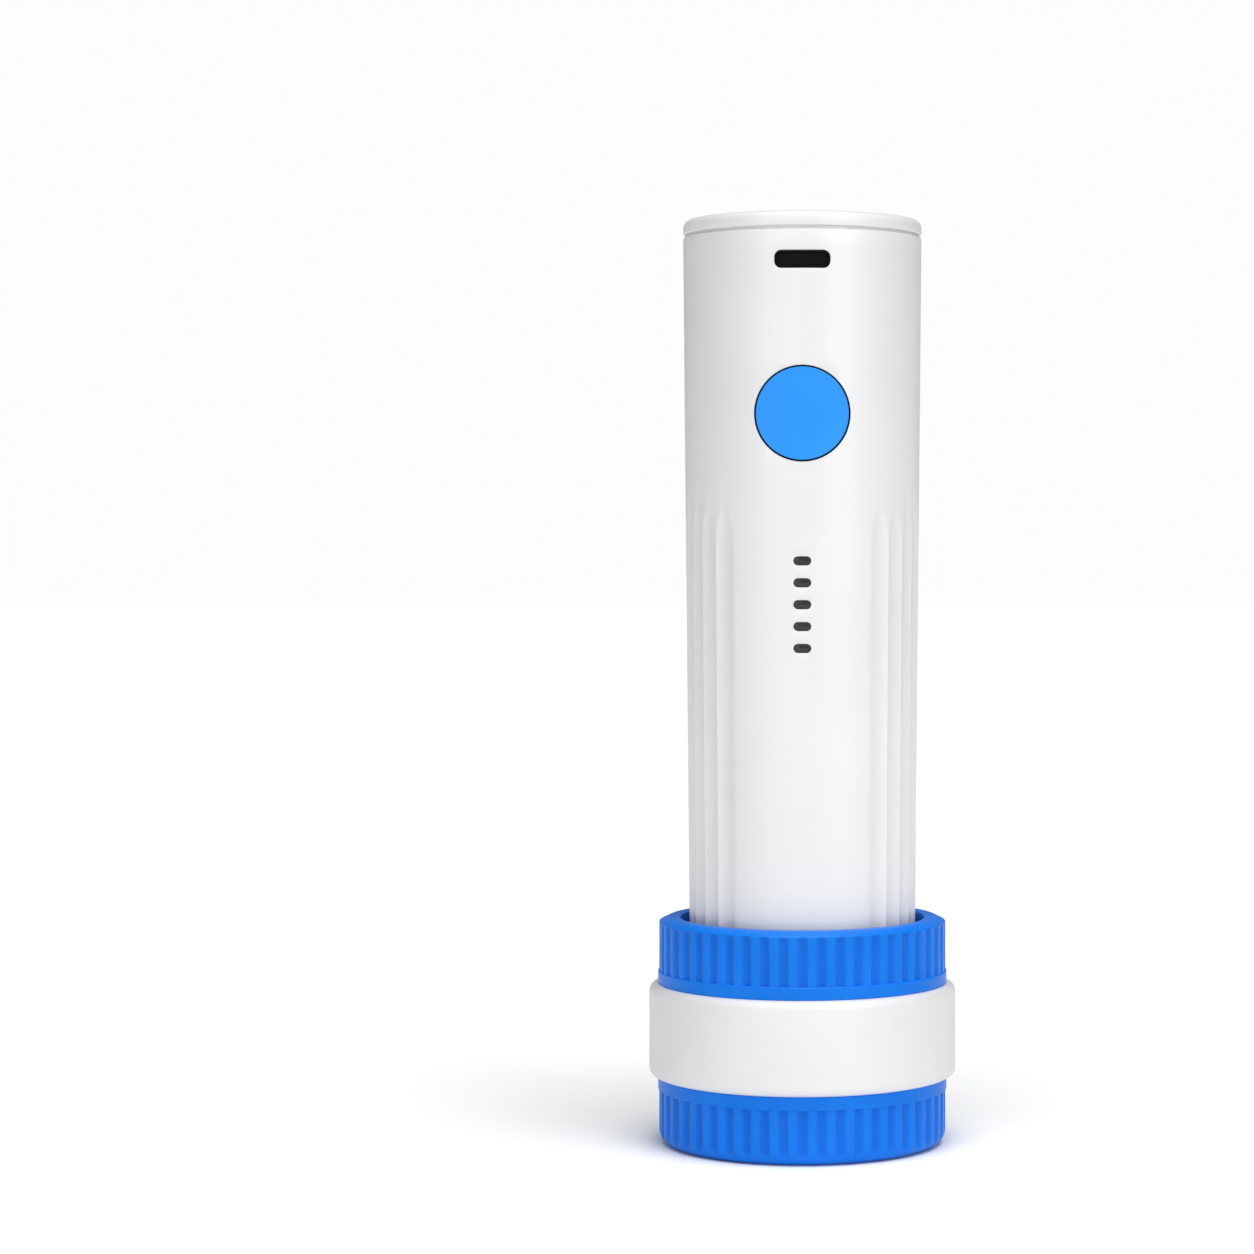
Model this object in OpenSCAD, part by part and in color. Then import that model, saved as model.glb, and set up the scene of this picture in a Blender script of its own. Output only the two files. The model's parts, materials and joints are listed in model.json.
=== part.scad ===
// Electric wine opener on its charging-desk stand: fluted body, docking stand and foil cutter.
// Millimetres, Z up, origin on the table under the axis, the button faces -Y.

/* [Foil cutter] */
// Wall of the foil cutter outside the cup's foot
cutter_wall = 2; // [1.5:0.1:3]
// How far the smooth rims of the two blue rings stand out
rim_step = 0.24; // [0.1:0.02:0.5]
// Height of the foil cutter, from the table to the white band
cutter_h = 14.2; // [13.6:0.1:16]
// Height of the smooth rim of the foil cutter
cutter_rim_h = 2.85; // [1.5:0.05:4]
// Radius of the rounded bottom edge
foot_round = 3; // [1:0.1:3.5]
// Radius of the hole that goes over the bottle
foil_mouth_r = 15.6; // [15:0.1:16.4]
// Radius of a cutting wheel
wheel_r = 5.8; // [5:0.1:6.2]
// Thickness of a cutting wheel
wheel_t = 0.7; // [0.5:0.05:1]
// How far a wheel reaches into the hole
wheel_reach = 1.4; // [0.8:0.1:2]
// Height of the wheels above the table
wheel_z = 4.6; // [4.2:0.1:5.2]
// Number of cutting wheels
wheel_count = 4; // [4:1:4]
// Radius of a wheel pin
wheel_pin_r = 1; // [0.8:0.05:1.2]
// Thickness of the floor of the foil cutter
cutter_floor = 3; // [2.4:0.1:3.4]
// Thickness of the cover over the wheels
cutter_cover_t = 2; // [1.6:0.1:2.6]

/* [Stand] */
// Wall of the white band
band_wall = 3.5; // [3:0.1:5.4]
// Height of the white band
band_h = 19.3; // [14:0.1:24]
// Radius of the edges of the white band
band_round = 1.8; // [0.8:0.1:2.4]
// Gap between the foot of the opener and the well that it stands in
well_gap = 2.1; // [1.9:0.1:2.6]
// Wall of the cup inside the white band
cup_wall = 3; // [2:0.1:3.4]
// Thickness of the cup's floor
cup_floor = 2.3; // [1.8:0.1:3]
// How much narrower the cup's foot is than the cup
cup_foot_step = 0.5; // [0.3:0.1:1]
// Depth of the cup's foot in the foil cutter
cup_foot_h = 2.5; // [1.5:0.1:3]
// Height of the blue collar above the white band
collar_h = 13.7; // [8:0.1:18]
// Height of the smooth rim of the collar
collar_rim_h = 2.6; // [1.5:0.1:4]
// Wall of the fluted part of the collar
collar_wall = 4.5; // [3.5:0.1:5]
// Width of the bevel round the collar's top
collar_bevel = 2; // [0.6:0.1:2.4]
// Drop of the bevel round the collar's top
collar_bevel_h = 1; // [0.4:0.1:2]
// Thickness of the soft pad under the opener
pad_t = 0.8; // [0.5:0.1:1.5]
// Number of flutes round each blue ring
ring_flutes = 48; // [36:1:48]
// Depth of a flute on the blue rings
ring_flute_depth = 0.5; // [0.3:0.05:0.7]
// Plain land between the flutes and the smooth rims
ring_land = 0.15; // [0.1:0.05:0.5]
// Radius of the cutter that makes a flute on the blue rings
ring_flute_r = 1.8; // [1.4:0.1:2.2]

/* [Housing] */
// Room between the batteries and the top of the housing
head_room = 11.9; // [11:0.1:17]
// How much wider the housing is at its top than at its foot
body_taper = 1.6; // [1.4:0.1:2.2]
// Wall of the housing
body_wall = 1.8; // [1.4:0.1:2.2]
// Flutes on each flank of the housing
flank_flutes = 10; // [6:1:11]
// Angle from the front to the first flute
flute_start = 35.5; // [30:0.5:45]
// Angle that one flute of the housing takes
flute_pitch = 10.9; // [9:0.1:11.4]
// Depth of a flute of the housing
flute_depth = 0.45; // [0.3:0.05:0.7]
// Height above the foot at which the flutes have their full depth
flute_full_h = 110.2; // [90:1:120]
// Length over which the flutes run out
flute_fade = 7; // [3:0.5:12]
// Height above the foot of the deck that carries the gearbox
deck_h = 74.2; // [73:0.1:76]
// Bevel of the housing's top edge
edge_bevel = 0.3; // [0.1:0.05:0.6]
// Width of the ledge under the deck
ledge_w = 2.6; // [1.8:0.1:3]
// Height of the ledge under the deck
ledge_h = 2.5; // [2:0.1:4]

/* [Cap] */
// Height of the cap above its seam
cap_h = 3.1; // [2.4:0.1:4]
// Height of the seam under the cap
seam_h = 0.6; // [0.3:0.1:1]
// Depth of the seam under the cap
seam_depth = 0.8; // [0.4:0.1:1.2]
// Radius of the rounded edge of the cap
cap_round = 1.6; // [0.6:0.1:2]
// Width of the white rim round the dark disc in the cap
disc_rim = 2; // [1.8:0.1:5]
// Thickness of the dark disc
disc_t = 0.8; // [0.5:0.1:1.2]
// Length of the cap's sleeve inside the housing
cap_sleeve_h = 3; // [1.5:0.1:3.4]
// Wall of the cap's sleeve
cap_sleeve_wall = 1.4; // [1:0.1:2]

/* [Controls] */
// Radius of the button's hole in the housing
button_hole_r = 9.8; // [8:0.1:10]
// Distance from the charging slot's centre down to the button's axis
button_drop = 31.26; // [28:0.02:34]
// How far the button stands proud of the housing
button_proud = 0.2; // [0:0.05:0.5]
// Width of the lip that keeps the button in
button_lip = 0.7; // [0.4:0.1:0.9]
// Thickness of the lip that keeps the button in
button_lip_t = 0.8; // [0.6:0.1:1]
// Travel of the button
button_travel = 0.8; // [0.4:0.1:0.9]
// Radius of the small plunger behind the button
plunger_r = 1.6; // [1.2:0.1:2]
// Side of the small switch behind the button
switch_side = 6; // [5:0.5:7]
// Height of the small switch behind the button
switch_t = 2; // [1.6:0.1:2.1]
// Number of indicator windows
light_count = 5; // [3:1:5]
// Width of an indicator window
light_w = 3.6; // [3:0.1:4.4]
// Height of an indicator window
light_h = 1.84; // [1.4:0.02:2.4]
// Distance between indicator windows
light_pitch = 4.44; // [4:0.02:5]
// Height of the lowest indicator window above the gearbox's deck
light_first_h = 15.1; // [13:0.1:18]
// Width of the charging slot
slot_w = 11.4; // [11:0.1:12.4]
// Height of the charging slot
slot_t = 3.7; // [3.6:0.1:4.4]
// Radius of the charging slot's corners
slot_round = 1.45; // [1.2:0.05:1.7]
// Depth of the charging slot's centre below the top of the housing
slot_drop = 6.24; // [5.5:0.02:7.4]

/* [Bottle guide and worm] */
// Radius of the mouth that takes the bottle's neck
bottle_r = 16; // [15.8:0.1:16.6]
// Wall of the ring round the mouth
mouth_wall = 5.5; // [5:0.1:6]
// Depth of the mouth
mouth_depth = 25.2; // [22:0.1:28]
// Wall of the bottle guide
guide_wall = 1.5; // [1.2:0.1:2]
// Radius of the chamber that takes the cork
chamber_r = 13.5; // [12.6:0.1:14]
// Thickness of the soft ring that the bottle's lip stops on
bumper_t = 1.8; // [1:0.1:2.4]
// Height of the ring round the mouth
mouth_ring_h = 5; // [4:0.1:6]
// Bevel that leads the bottle into the mouth
mouth_bevel = 1; // [0.5:0.1:1.5]
// Number of ribs on the bottle guide
guide_ribs = 6; // [6:6:6]
// Thickness of a rib on the bottle guide
guide_rib_t = 1.2; // [0.8:0.1:2]
// Height of the worm's point above the foot
worm_tip_h = 12.2; // [10:0.1:14]
// Radius of the worm's coil, to the middle of its wire
worm_coil_r = 2.85; // [2.6:0.05:3.4]
// Radius of the worm's wire
worm_wire_r = 1.4; // [1.2:0.05:1.5]
// Rise of the worm in one turn
worm_pitch = 9.5; // [8:0.1:11]
// Radius of the collar that stops the cork
worm_collar_r = 6; // [5:0.1:8]
// Thickness of the collar that stops the cork
worm_collar_t = 1.5; // [1:0.1:2]

/* [Gearbox] */
// Module of the gears
gear_module = 0.6; // [0.58:0.01:0.61]
// Pressure angle of the gears
pressure_angle = 25; // [24:0.5:26]
// Teeth of each sun gear
sun_teeth = 12; // [12:1:12]
// Teeth of each planet gear
planet_teeth = 18; // [18:1:18]
// Planets in each stage
planet_count = 3; // [3:1:3]
// Play cut from each tooth's thickness
tooth_play = 0.08; // [0.06:0.01:0.12]
// Height of the output planets
planet_b_h = 5; // [4:0.1:5.4]
// Height of the input planets
planet_a_h = 4.8; // [4:0.1:5]
// Thickness of the carrier plates
carrier_t = 1.8; // [1.4:0.1:2.2]
// Radius of the carrier plates
carrier_r = 12.4; // [11.6:0.1:12.6]
// Radius of the planets' pins
planet_pin_r = 1.25; // [1:0.05:1.5]
// Wall outside the ring gear's teeth
gear_case_wall = 1.85; // [1.6:0.05:2]
// Thickness of the deck under the gears
deck_t = 3; // [2.4:0.1:3.4]
// Radius of the output shaft
output_r = 3.5; // [3:0.1:4]
// Wall of the bronze bush
bush_wall = 1.8; // [1.2:0.1:2.4]
// Radius of the three long screws of the gearbox
case_screw_r = 1.15; // [1:0.05:1.3]
// How far outside the gear case the long screws stand
case_screw_out = 1.6; // [1.4:0.1:1.9]
// How far inside the housing's foot radius the guide's screws stand
guide_screw_inset = 6.2; // [6:0.1:6.3]

/* [Motor] */
// Radius of the motor
motor_r = 12.2; // [11.8:0.1:12.6]
// Length of the motor's can
motor_h = 29; // [27:0.1:30]
// Wall of the motor's can
motor_wall = 0.8; // [0.6:0.1:1]
// Thickness of the plate that carries the motor
motor_plate_t = 2.5; // [2:0.1:3]
// Thickness of the motor's end cap
motor_end_t = 1.8; // [1.4:0.1:2.4]
// Radius of the motor's shaft
motor_shaft_r = 1.15; // [1:0.05:1.3]
// Radius of the boss round the motor's shaft
motor_boss_r = 3.2; // [2.8:0.1:3.6]
// Height of the boss round the motor's shaft
motor_boss_h = 1.2; // [0.8:0.1:1.6]
// Radius of the armature
armature_r = 9.3; // [8.6:0.1:9.4]
// Thickness of the magnets
magnet_t = 1.5; // [1.2:0.1:1.6]
// Radius at which the motor's screws stand
motor_screw_at = 8; // [7.4:0.1:8.4]

/* [Batteries and boards] */
// Radius of a battery cell
cell_r = 9.15; // [8.8:0.05:9.2]
// Length of a battery cell
cell_h = 35; // [33:0.1:35.5]
// Thickness of the cradle's floor
cradle_floor = 1.7; // [1.4:0.1:2]
// Distance from the axis to the middle of a cell
cell_at = 9.4; // [9.3:0.05:9.6]
// Thickness of the nickel tabs
tab_t = 0.2; // [0.1:0.05:0.3]
// Width of the nickel tabs
tab_w = 5; // [4:0.1:6]
// Thickness of the boards
board_t = 1.2; // [1:0.1:1.4]
// How far inside the housing's foot radius the back of the control board stands
board_inset = 5.8; // [5.6:0.1:6]
// Half the width of the control board
board_half_w = 9; // [8:0.1:9]
// Width of the charging connector
usb_w = 8.94; // [8.8:0.02:9.1]
// Height of the charging connector
usb_t = 3.26; // [3.1:0.02:3.3]
// Length of the charging connector
usb_l = 7.35; // [7:0.05:8]
// Thickness of the charging connector's shell
usb_wall = 0.3; // [0.25:0.05:0.35]

/* [Clearances] */
// Gap round a turning pin or shaft
running_gap = 0.05; // [0.03:0.01:0.08]
// Gap between pieces that are pushed together
fit_gap = 0.1; // [0.05:0.01:0.15]
// Gap under a part that turns
float_gap = 0.2; // [0.1:0.05:0.3]
// Gap round the button
button_gap = 0.3; // [0.2:0.05:0.4]
// How much wider both mouths are behind their lips
mouth_relief = 0.3; // [0.2:0.05:0.5]

/* [Hidden] */
$fn = 96;
eps = 0.01;
far = 60;

// Radii, from the bottle's mouth out
body_foot_r = bottle_r + mouth_wall + fit_gap + body_wall;
body_top_r = body_foot_r + body_taper;
well_r = body_foot_r + well_gap;
cup_r = well_r + cup_wall;
cup_foot_r = cup_r - cup_foot_step;
band_r = cup_r + fit_gap + band_wall;
collar_r = well_r + collar_wall;
cutter_r = cup_foot_r + cutter_wall;
rim_r = cutter_r + rim_step;
disc_r = body_top_r - disc_rim;
guide_screw_at = body_foot_r - guide_screw_inset;
board_at = body_foot_r - board_inset;

// Heights, from the table up
cover_top_z = cutter_h - cup_foot_h;
cover_z = cover_top_z - cutter_cover_t;
cup_floor_z = cover_top_z + cup_floor;
opener_z = cup_floor_z + pad_t;
band_top_z = cutter_h + band_h;
collar_top_z = band_top_z + collar_h;
lip_stop_z = opener_z + mouth_depth;
deck_z = opener_z + deck_h;
deck_top_z = deck_z + deck_t;
ledge_z = deck_z - ledge_h;
guide_flange_t = 2;
guide_flange_z = ledge_z - guide_flange_t;

// Foil cutter
wheel_at = foil_mouth_r - wheel_reach + wheel_r;
wheel_hub_r = 2.2;
pocket_r = wheel_r + 0.6;
cutter_screw_r = 1.2;
cutter_screw_head_r = 2.2;
cutter_screw_head_h = 1.2;
cutter_screw_at = (foil_mouth_r + cup_foot_r) / 2;
cutter_screw_depth = 5;

// Gears
sun_pitch_r = gear_module * sun_teeth / 2;
planet_pitch_r = gear_module * planet_teeth / 2;
ring_teeth = sun_teeth + 2 * planet_teeth;
ring_pitch_r = gear_module * ring_teeth / 2;
planet_at = sun_pitch_r + planet_pitch_r;
addendum = 0.9 * gear_module;
dedendum = 1.25 * gear_module;
ring_root_r = ring_pitch_r + dedendum;
gear_case_r = ring_root_r + gear_case_wall;
case_screw_at = gear_case_r + case_screw_out;
output_plate_z = deck_top_z + float_gap;
output_planet_z = output_plate_z + carrier_t + float_gap;
input_plate_z = output_planet_z + planet_b_h + 3 * float_gap;
input_planet_z = input_plate_z + carrier_t + float_gap;
motor_plate_z = input_planet_z + planet_a_h + 3 * float_gap;
motor_z = motor_plate_z + motor_plate_t;
motor_end_z = motor_z + motor_h;
cradle_z = motor_end_z + motor_end_t;
cell_z = cradle_z + cradle_floor + tab_t;
body_top_z = cell_z + cell_h + head_room;
body_h = body_top_z - opener_z;
cap_z = body_top_z + seam_h;
cap_top_z = cap_z + cap_h;
output_foot_z = deck_z - 2.5;
worm_collar_z = output_foot_z - worm_collar_t;
worm_tip_z = opener_z + worm_tip_h;

// Screws
case_lug_r = 2.2;
guide_screw_r = 1.15;
guide_screw_head_r = 1.9;
guide_screw_head_h = 1.5;
guide_boss_r = 2;
case_screw_head_r = 2;
case_screw_head_h = 1.4;
motor_screw_r = 1.2;
motor_screw_head_r = 1.9;
motor_screw_head_h = 1.2;
board_screw_r = 0.6;
board_screw_head_r = 1.1;
board_screw_head_h = 0.6;
board_screw_bite = 3;
board_screw_at = board_half_w - 3;

// Terminals of the motor
terminal_w = 3;
terminal_t = 0.5;
terminal_at = 8.5;

// Steps across a flute of the housing
flute_steps = 6;
// How far the fluted part lies inside the plain part above it
skin_step = 0.05;

// Boards and controls
board_front = board_at + board_t;
slot_z = body_top_z - slot_drop;
button_z = slot_z - button_drop;
board_top_z = button_z + button_hole_r + 12;
light_z = deck_z + light_first_h;
board_z = light_z - light_pitch;
charge_top_z = slot_z - usb_t / 2;
charge_z = charge_top_z - board_t;
usb_front = body_r(slot_z) - body_wall - 0.9;
switch_front = board_front + switch_t;
plunger_well = board_front + float_gap;

// Radius of the housing at a height
function body_r(z) = body_foot_r + (body_top_r - body_foot_r) * (z - opener_z) / body_h;

// A piece of the housing's own cone, drawn in from its surface
module body_cone(inset, z0, z1) {
    translate([0, 0, z0])
        cylinder(r1 = body_r(z0) - inset, r2 = body_r(z1) - inset, h = z1 - z0);
}

module tube(r_out, r_in, z0, z1) {
    translate([0, 0, z0])
        difference() {
            cylinder(r = r_out, h = z1 - z0);
            translate([0, 0, -1])
                cylinder(r = r_in, h = z1 - z0 + 2);
        }
}

module rod(r, z0, z1) {
    translate([0, 0, z0])
        cylinder(r = r, h = z1 - z0);
}

// Copies round the axis, the first at an angle from +X
module around(count, first = 0, at = 0) {
    for (i = [0 : count - 1])
        rotate([0, 0, first + i * 360 / count])
            translate([at, 0, 0])
                children();
}

// A plug through the front wall, drawn from behind its surface to clear of it
module front_plug(z, from = 14) {
    translate([0, -from, z])
        rotate([90, 0, 0])
            linear_extrude(far)
                children();
}

module round_rect(w, h, r) {
    square([w - 2 * r, h], center = true);
    square([w, h - 2 * r], center = true);
    for (x = [-1, 1], y = [-1, 1])
        translate([x * (w / 2 - r), y * (h / 2 - r)])
            circle(r = r, $fn = 32);
}

module slot_shape(w, h) {
    square([w - h, h], center = true);
    for (x = [-1, 1])
        translate([x * (w - h) / 2, 0])
            circle(d = h, $fn = 32);
}

// The right half of a block with its outer corners rounded
module rounded_side(r0, r1, z0, z1, round_low, round_high) {
    low = max(round_low, eps);
    high = max(round_high, eps);
    translate([r0, z0])
        square([r1 - max(low, high) - r0, z1 - z0]);
    translate([r0, z0 + low])
        square([r1 - r0, z1 - z0 - low - high]);
    translate([r1 - low, z0 + low])
        circle(r = low);
    translate([r1 - high, z1 - high])
        circle(r = high);
    if (low < high)
        translate([r0, z0])
            square([r1 - low - r0, low + eps]);
    if (high < low)
        translate([r0, z1 - high - eps])
            square([r1 - high - r0, high + eps]);
}

// Grooves round a blue ring, from one height to another
module ring_grooves(r, z0, z1) {
    around(ring_flutes, -90, r - ring_flute_depth + ring_flute_r)
        rod(ring_flute_r, z0, z1);
}

// ---- Foil cutter

module wheel_spots() {
    around(wheel_count, 45, wheel_at)
        children();
}

module cutter_ring() {
    rim_z = cutter_h - cutter_rim_h;
    color("royalblue")
        difference() {
            union() {
                rotate_extrude()
                    difference() {
                        rounded_side(foil_mouth_r, cutter_r, 0, rim_z + eps, foot_round, 0);
                        translate([foil_mouth_r, -eps])
                            polygon([[-1, -1], [1, -1], [1, eps], [0, 1], [-1, 1]]);
                    }
                tube(rim_r, cup_foot_r + fit_gap, rim_z, cutter_h);
            }
            rod(foil_mouth_r + mouth_relief, cutter_floor, cutter_h);
            rod(cup_foot_r + fit_gap, cover_z, cutter_h + 1);
            ring_grooves(cutter_r, -1, rim_z - ring_land);
            wheel_spots()
                difference() {
                    rod(pocket_r, cutter_floor, cutter_h);
                    rod(wheel_hub_r, 0, wheel_z - wheel_t / 2 - running_gap);
                }
            wheel_spots()
                rod(wheel_pin_r + 0.02, cutter_floor / 2, cutter_h);
            around(4, 0, cutter_screw_at)
                rod(cutter_screw_r + 0.02, cover_z - cutter_screw_depth - 0.5, cutter_h);
        }
}

module cutter_cover() {
    color("dimgray")
        difference() {
            union() {
                tube(cup_foot_r - fit_gap, foil_mouth_r + mouth_relief, cover_z, cover_top_z);
                wheel_spots()
                    rod(wheel_hub_r, wheel_z + wheel_t / 2 + running_gap, cover_z + eps);
            }
            wheel_spots()
                rod(wheel_pin_r + 0.02, 0, cover_top_z - 0.6);
            around(4, 0, cutter_screw_at) {
                rod(cutter_screw_r + 0.1, 0, cutter_h);
                translate([0, 0, cover_top_z - cutter_screw_head_h])
                    cylinder(r1 = cutter_screw_r + 0.1, r2 = cutter_screw_head_r + 0.1, h = cutter_screw_head_h + eps);
            }
        }
}

module cutter_pins() {
    color("silver")
        wheel_spots()
            rod(wheel_pin_r, cutter_floor / 2, cover_top_z - 0.7);
}

module cutter_screws() {
    color("silver")
        around(4, 0, cutter_screw_at) {
            rod(cutter_screw_r, cover_z - cutter_screw_depth, cover_top_z - cutter_screw_head_h);
            translate([0, 0, cover_top_z - cutter_screw_head_h])
                cylinder(r1 = cutter_screw_r, r2 = cutter_screw_head_r, h = cutter_screw_head_h - 0.1);
        }
}

// A disc sharpened from both sides
module cutting_wheel(number) {
    color("lightgray")
        rotate([0, 0, 45 + (number - 1) * 360 / wheel_count])
            translate([wheel_at, 0, wheel_z])
                rotate_extrude()
                    polygon([
                        [wheel_pin_r + running_gap, -wheel_t / 2],
                        [wheel_r - 1.2, -wheel_t / 2],
                        [wheel_r, -0.03],
                        [wheel_r, 0.03],
                        [wheel_r - 1.2, wheel_t / 2],
                        [wheel_pin_r + running_gap, wheel_t / 2]
                    ]);
}

// ---- Stand

module docking_cup() {
    rim_top_z = band_top_z + collar_rim_h;
    bevel_z = collar_top_z - collar_bevel_h;
    color("royalblue")
        difference() {
            union() {
                rod(cup_foot_r, cover_top_z, cutter_h + eps);
                rod(cup_r, cutter_h, band_top_z + eps);
                rod(rim_r, band_top_z, rim_top_z);
                rod(collar_r, rim_top_z - eps, bevel_z);
                translate([0, 0, bevel_z - eps])
                    cylinder(r1 = collar_r, r2 = collar_r - collar_bevel, h = collar_bevel_h + eps);
            }
            rod(well_r, cup_floor_z, collar_top_z + 1);
            ring_grooves(collar_r, rim_top_z + ring_land, collar_top_z + 1);
        }
}

module stand_band() {
    color("whitesmoke")
        rotate_extrude()
            rounded_side(cup_r + fit_gap, band_r, cutter_h, band_top_z, band_round, band_round);
}

module docking_pad() {
    color("dimgray")
        tube(body_foot_r - 1, bottle_r + 0.4, cup_floor_z, opener_z);
}

// ---- Housing of the opener

// Hollows of one flank, as [angle, share of the full depth], and the plain arc that follows it
function flank_hollows(start) = [for (i = [0 : flank_flutes * flute_steps])
    let (u = 2 * (i % flute_steps) / flute_steps - 1) [start + i * flute_pitch / flute_steps, 1 - u * u]];
function plain_arc(from, to) = let (steps = ceil((to - from) / 2))
    [for (i = [1 : steps - 1]) [from + (to - from) * i / steps, 0]];

// Outline of the fluted housing at one height, its hollows cut to a share of their depth
function fluted_ring(z, share, inset = 0) = let (
        right = flute_start - 90,
        left = 270 - flute_start,
        span = flank_flutes * flute_pitch
    ) [for (p = concat(flank_hollows(right), plain_arc(right + span, left - span),
            flank_hollows(left - span), plain_arc(left, right + 360)))
        let (r = body_r(z) - inset - flute_depth * share * p[1]) [r * cos(p[0]), r * sin(p[0]), z]];

module light_spots() {
    for (i = [0 : light_count - 1])
        front_plug(light_z + i * light_pitch)
            children();
}

module housing() {
    full_z = opener_z + flute_full_h;
    color("whitesmoke")
        difference() {
            union() {
                difference() {
                    union() {
                        ring_skin([
                            fluted_ring(opener_z, 1),
                            fluted_ring(full_z, 1),
                            fluted_ring(full_z + flute_fade, 0, skin_step)
                        ]);
                        body_cone(0, full_z + flute_fade, body_top_z - edge_bevel);
                        translate([0, 0, body_top_z - edge_bevel])
                            cylinder(r1 = body_r(body_top_z - edge_bevel), r2 = body_top_r - edge_bevel, h = edge_bevel);
                    }
                    body_cone(body_wall, opener_z - 1, body_top_z + 1);
                }
                difference() {
                    body_cone(body_wall - 0.2, ledge_z, deck_z);
                    rod(body_r(deck_z) - body_wall - ledge_w, ledge_z - 1, deck_z + 1);
                }
            }
            front_plug(button_z)
                circle(r = button_hole_r);
            light_spots()
                slot_shape(light_w, light_h);
            front_plug(slot_z)
                round_rect(slot_w, slot_t, slot_round);
        }
}

module top_cap() {
    sleeve_r = body_r(body_top_z - cap_sleeve_h) - body_wall - fit_gap;
    color("whitesmoke")
        difference() {
            union() {
                rotate_extrude()
                    rounded_side(0, body_top_r, cap_z, cap_top_z, 0.3, cap_round);
                rod(body_top_r - seam_depth, body_top_z, cap_z + eps);
                rod(sleeve_r, body_top_z - cap_sleeve_h, body_top_z + eps);
            }
            rod(sleeve_r - cap_sleeve_wall, 0, cap_z + 0.2);
            rod(disc_r + fit_gap, cap_top_z - disc_t, cap_top_z + 1);
        }
}

module cap_disc() {
    color("black")
        rod(disc_r, cap_top_z - disc_t, cap_top_z - 0.1);
}

// ---- Bottle guide

module mouth_ring() {
    color("gray")
        difference() {
            body_cone(body_wall + fit_gap, opener_z, opener_z + mouth_ring_h);
            rod(bottle_r, 0, far);
            translate([0, 0, opener_z - eps])
                cylinder(r1 = bottle_r + mouth_bevel, r2 = bottle_r, h = mouth_bevel);
        }
}

module bottle_guide() {
    foot_z = opener_z + mouth_ring_h;
    rib_r = body_foot_r - body_wall - 0.4;
    shoulder_t = 2;
    color("gainsboro")
        difference() {
            union() {
                rod(bottle_r + guide_wall, foot_z, lip_stop_z + shoulder_t);
                rod(chamber_r + guide_wall, lip_stop_z, deck_z);
                rod(rib_r, foot_z, foot_z + 2);
                rod(body_r(guide_flange_z) - body_wall - 0.3, guide_flange_z, ledge_z);
                around(3, 30, guide_screw_at)
                    rod(guide_boss_r, ledge_z - eps, deck_z);
                around(guide_ribs, 0)
                    translate([chamber_r + 0.5, -guide_rib_t / 2, foot_z + 1])
                        cube([rib_r - chamber_r - 0.5, guide_rib_t, guide_flange_z - foot_z]);
            }
            rod(bottle_r + mouth_relief, 0, lip_stop_z);
            rod(chamber_r, 0, deck_z + 1);
            around(3, 30, guide_screw_at)
                rod(guide_screw_r + 0.05, guide_flange_z - 1, deck_z + 1);
        }
}

module lip_bumper() {
    color("dimgray")
        tube(bottle_r + mouth_relief - fit_gap, chamber_r, lip_stop_z - bumper_t, lip_stop_z);
}

module guide_screws() {
    color("silver")
        around(3, 30, guide_screw_at) {
            rod(guide_screw_head_r, guide_flange_z - guide_screw_head_h, guide_flange_z);
            rod(guide_screw_r, guide_flange_z - eps, deck_top_z - 0.3);
        }
}

// ---- Worm and its drive

worm_turns = (worm_collar_z - worm_tip_z) / worm_pitch;
worm_rings = 22;
worm_sides = 10;
worm_point_turns = 0.45;
worm_neck_turns = 0.7;
shank_top_z = deck_top_z - 0.5;

// Smooth step from 0 to 1
function ease(t) = let (s = min(1, max(0, t))) s * s * (3 - 2 * s);

// Coil radius and wire radius after a number of turns from the point
function coil_r(t) = worm_coil_r * ease((worm_turns - t) / worm_neck_turns);
function wire_r(t) = worm_wire_r * (0.12 + 0.88 * ease(t / worm_point_turns));
function coil_point(t) = [coil_r(t) * cos(360 * t), coil_r(t) * sin(360 * t), worm_tip_z + worm_pitch * t];

function unit(v) = v / norm(v);

// One ring of points round the wire
function wire_ring(t) = let (
        step = 0.002,
        along = t >= worm_turns ? [0, 0, 1] : unit(coil_point(t + step) - coil_point(t - step)),
        out = [cos(360 * t), sin(360 * t), 0],
        side = unit(out - along * (out * along)),
        up = cross(along, side)
    ) [for (k = [0 : worm_sides - 1])
        coil_point(t) + wire_r(t) * (side * cos(360 * k / worm_sides) + up * sin(360 * k / worm_sides))];

// A closed tube through rings that have the same number of points
module ring_skin(rings) {
    count = len(rings);
    sides = len(rings[0]);
    points = [for (ring = rings, p = ring) p];
    walls = [for (i = [0 : count - 2], k = [0 : sides - 1]) let (
            a = i * sides + k,
            b = i * sides + (k + 1) % sides
        ) each [[a, b, b + sides], [a, b + sides, a + sides]]];
    low = [for (k = [0 : sides - 1]) sides - 1 - k];
    high = [for (k = [0 : sides - 1]) (count - 1) * sides + k];
    polyhedron(points = points, faces = [for (f = concat([low], walls, [high])) [for (k = [len(f) - 1 : -1 : 0]) f[k]]]);
}

module worm() {
    steps = ceil(worm_turns * worm_rings);
    coil = [for (i = [0 : steps]) wire_ring(worm_turns * i / steps)];
    lift = [0, 0, shank_top_z - worm_collar_z];
    shank = [for (p = coil[steps]) p + lift];
    color("silver")
        ring_skin(concat(coil, [shank]));
}

module worm_collar() {
    color("gray")
        tube(worm_collar_r, worm_wire_r + running_gap, worm_collar_z, output_foot_z);
}

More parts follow.
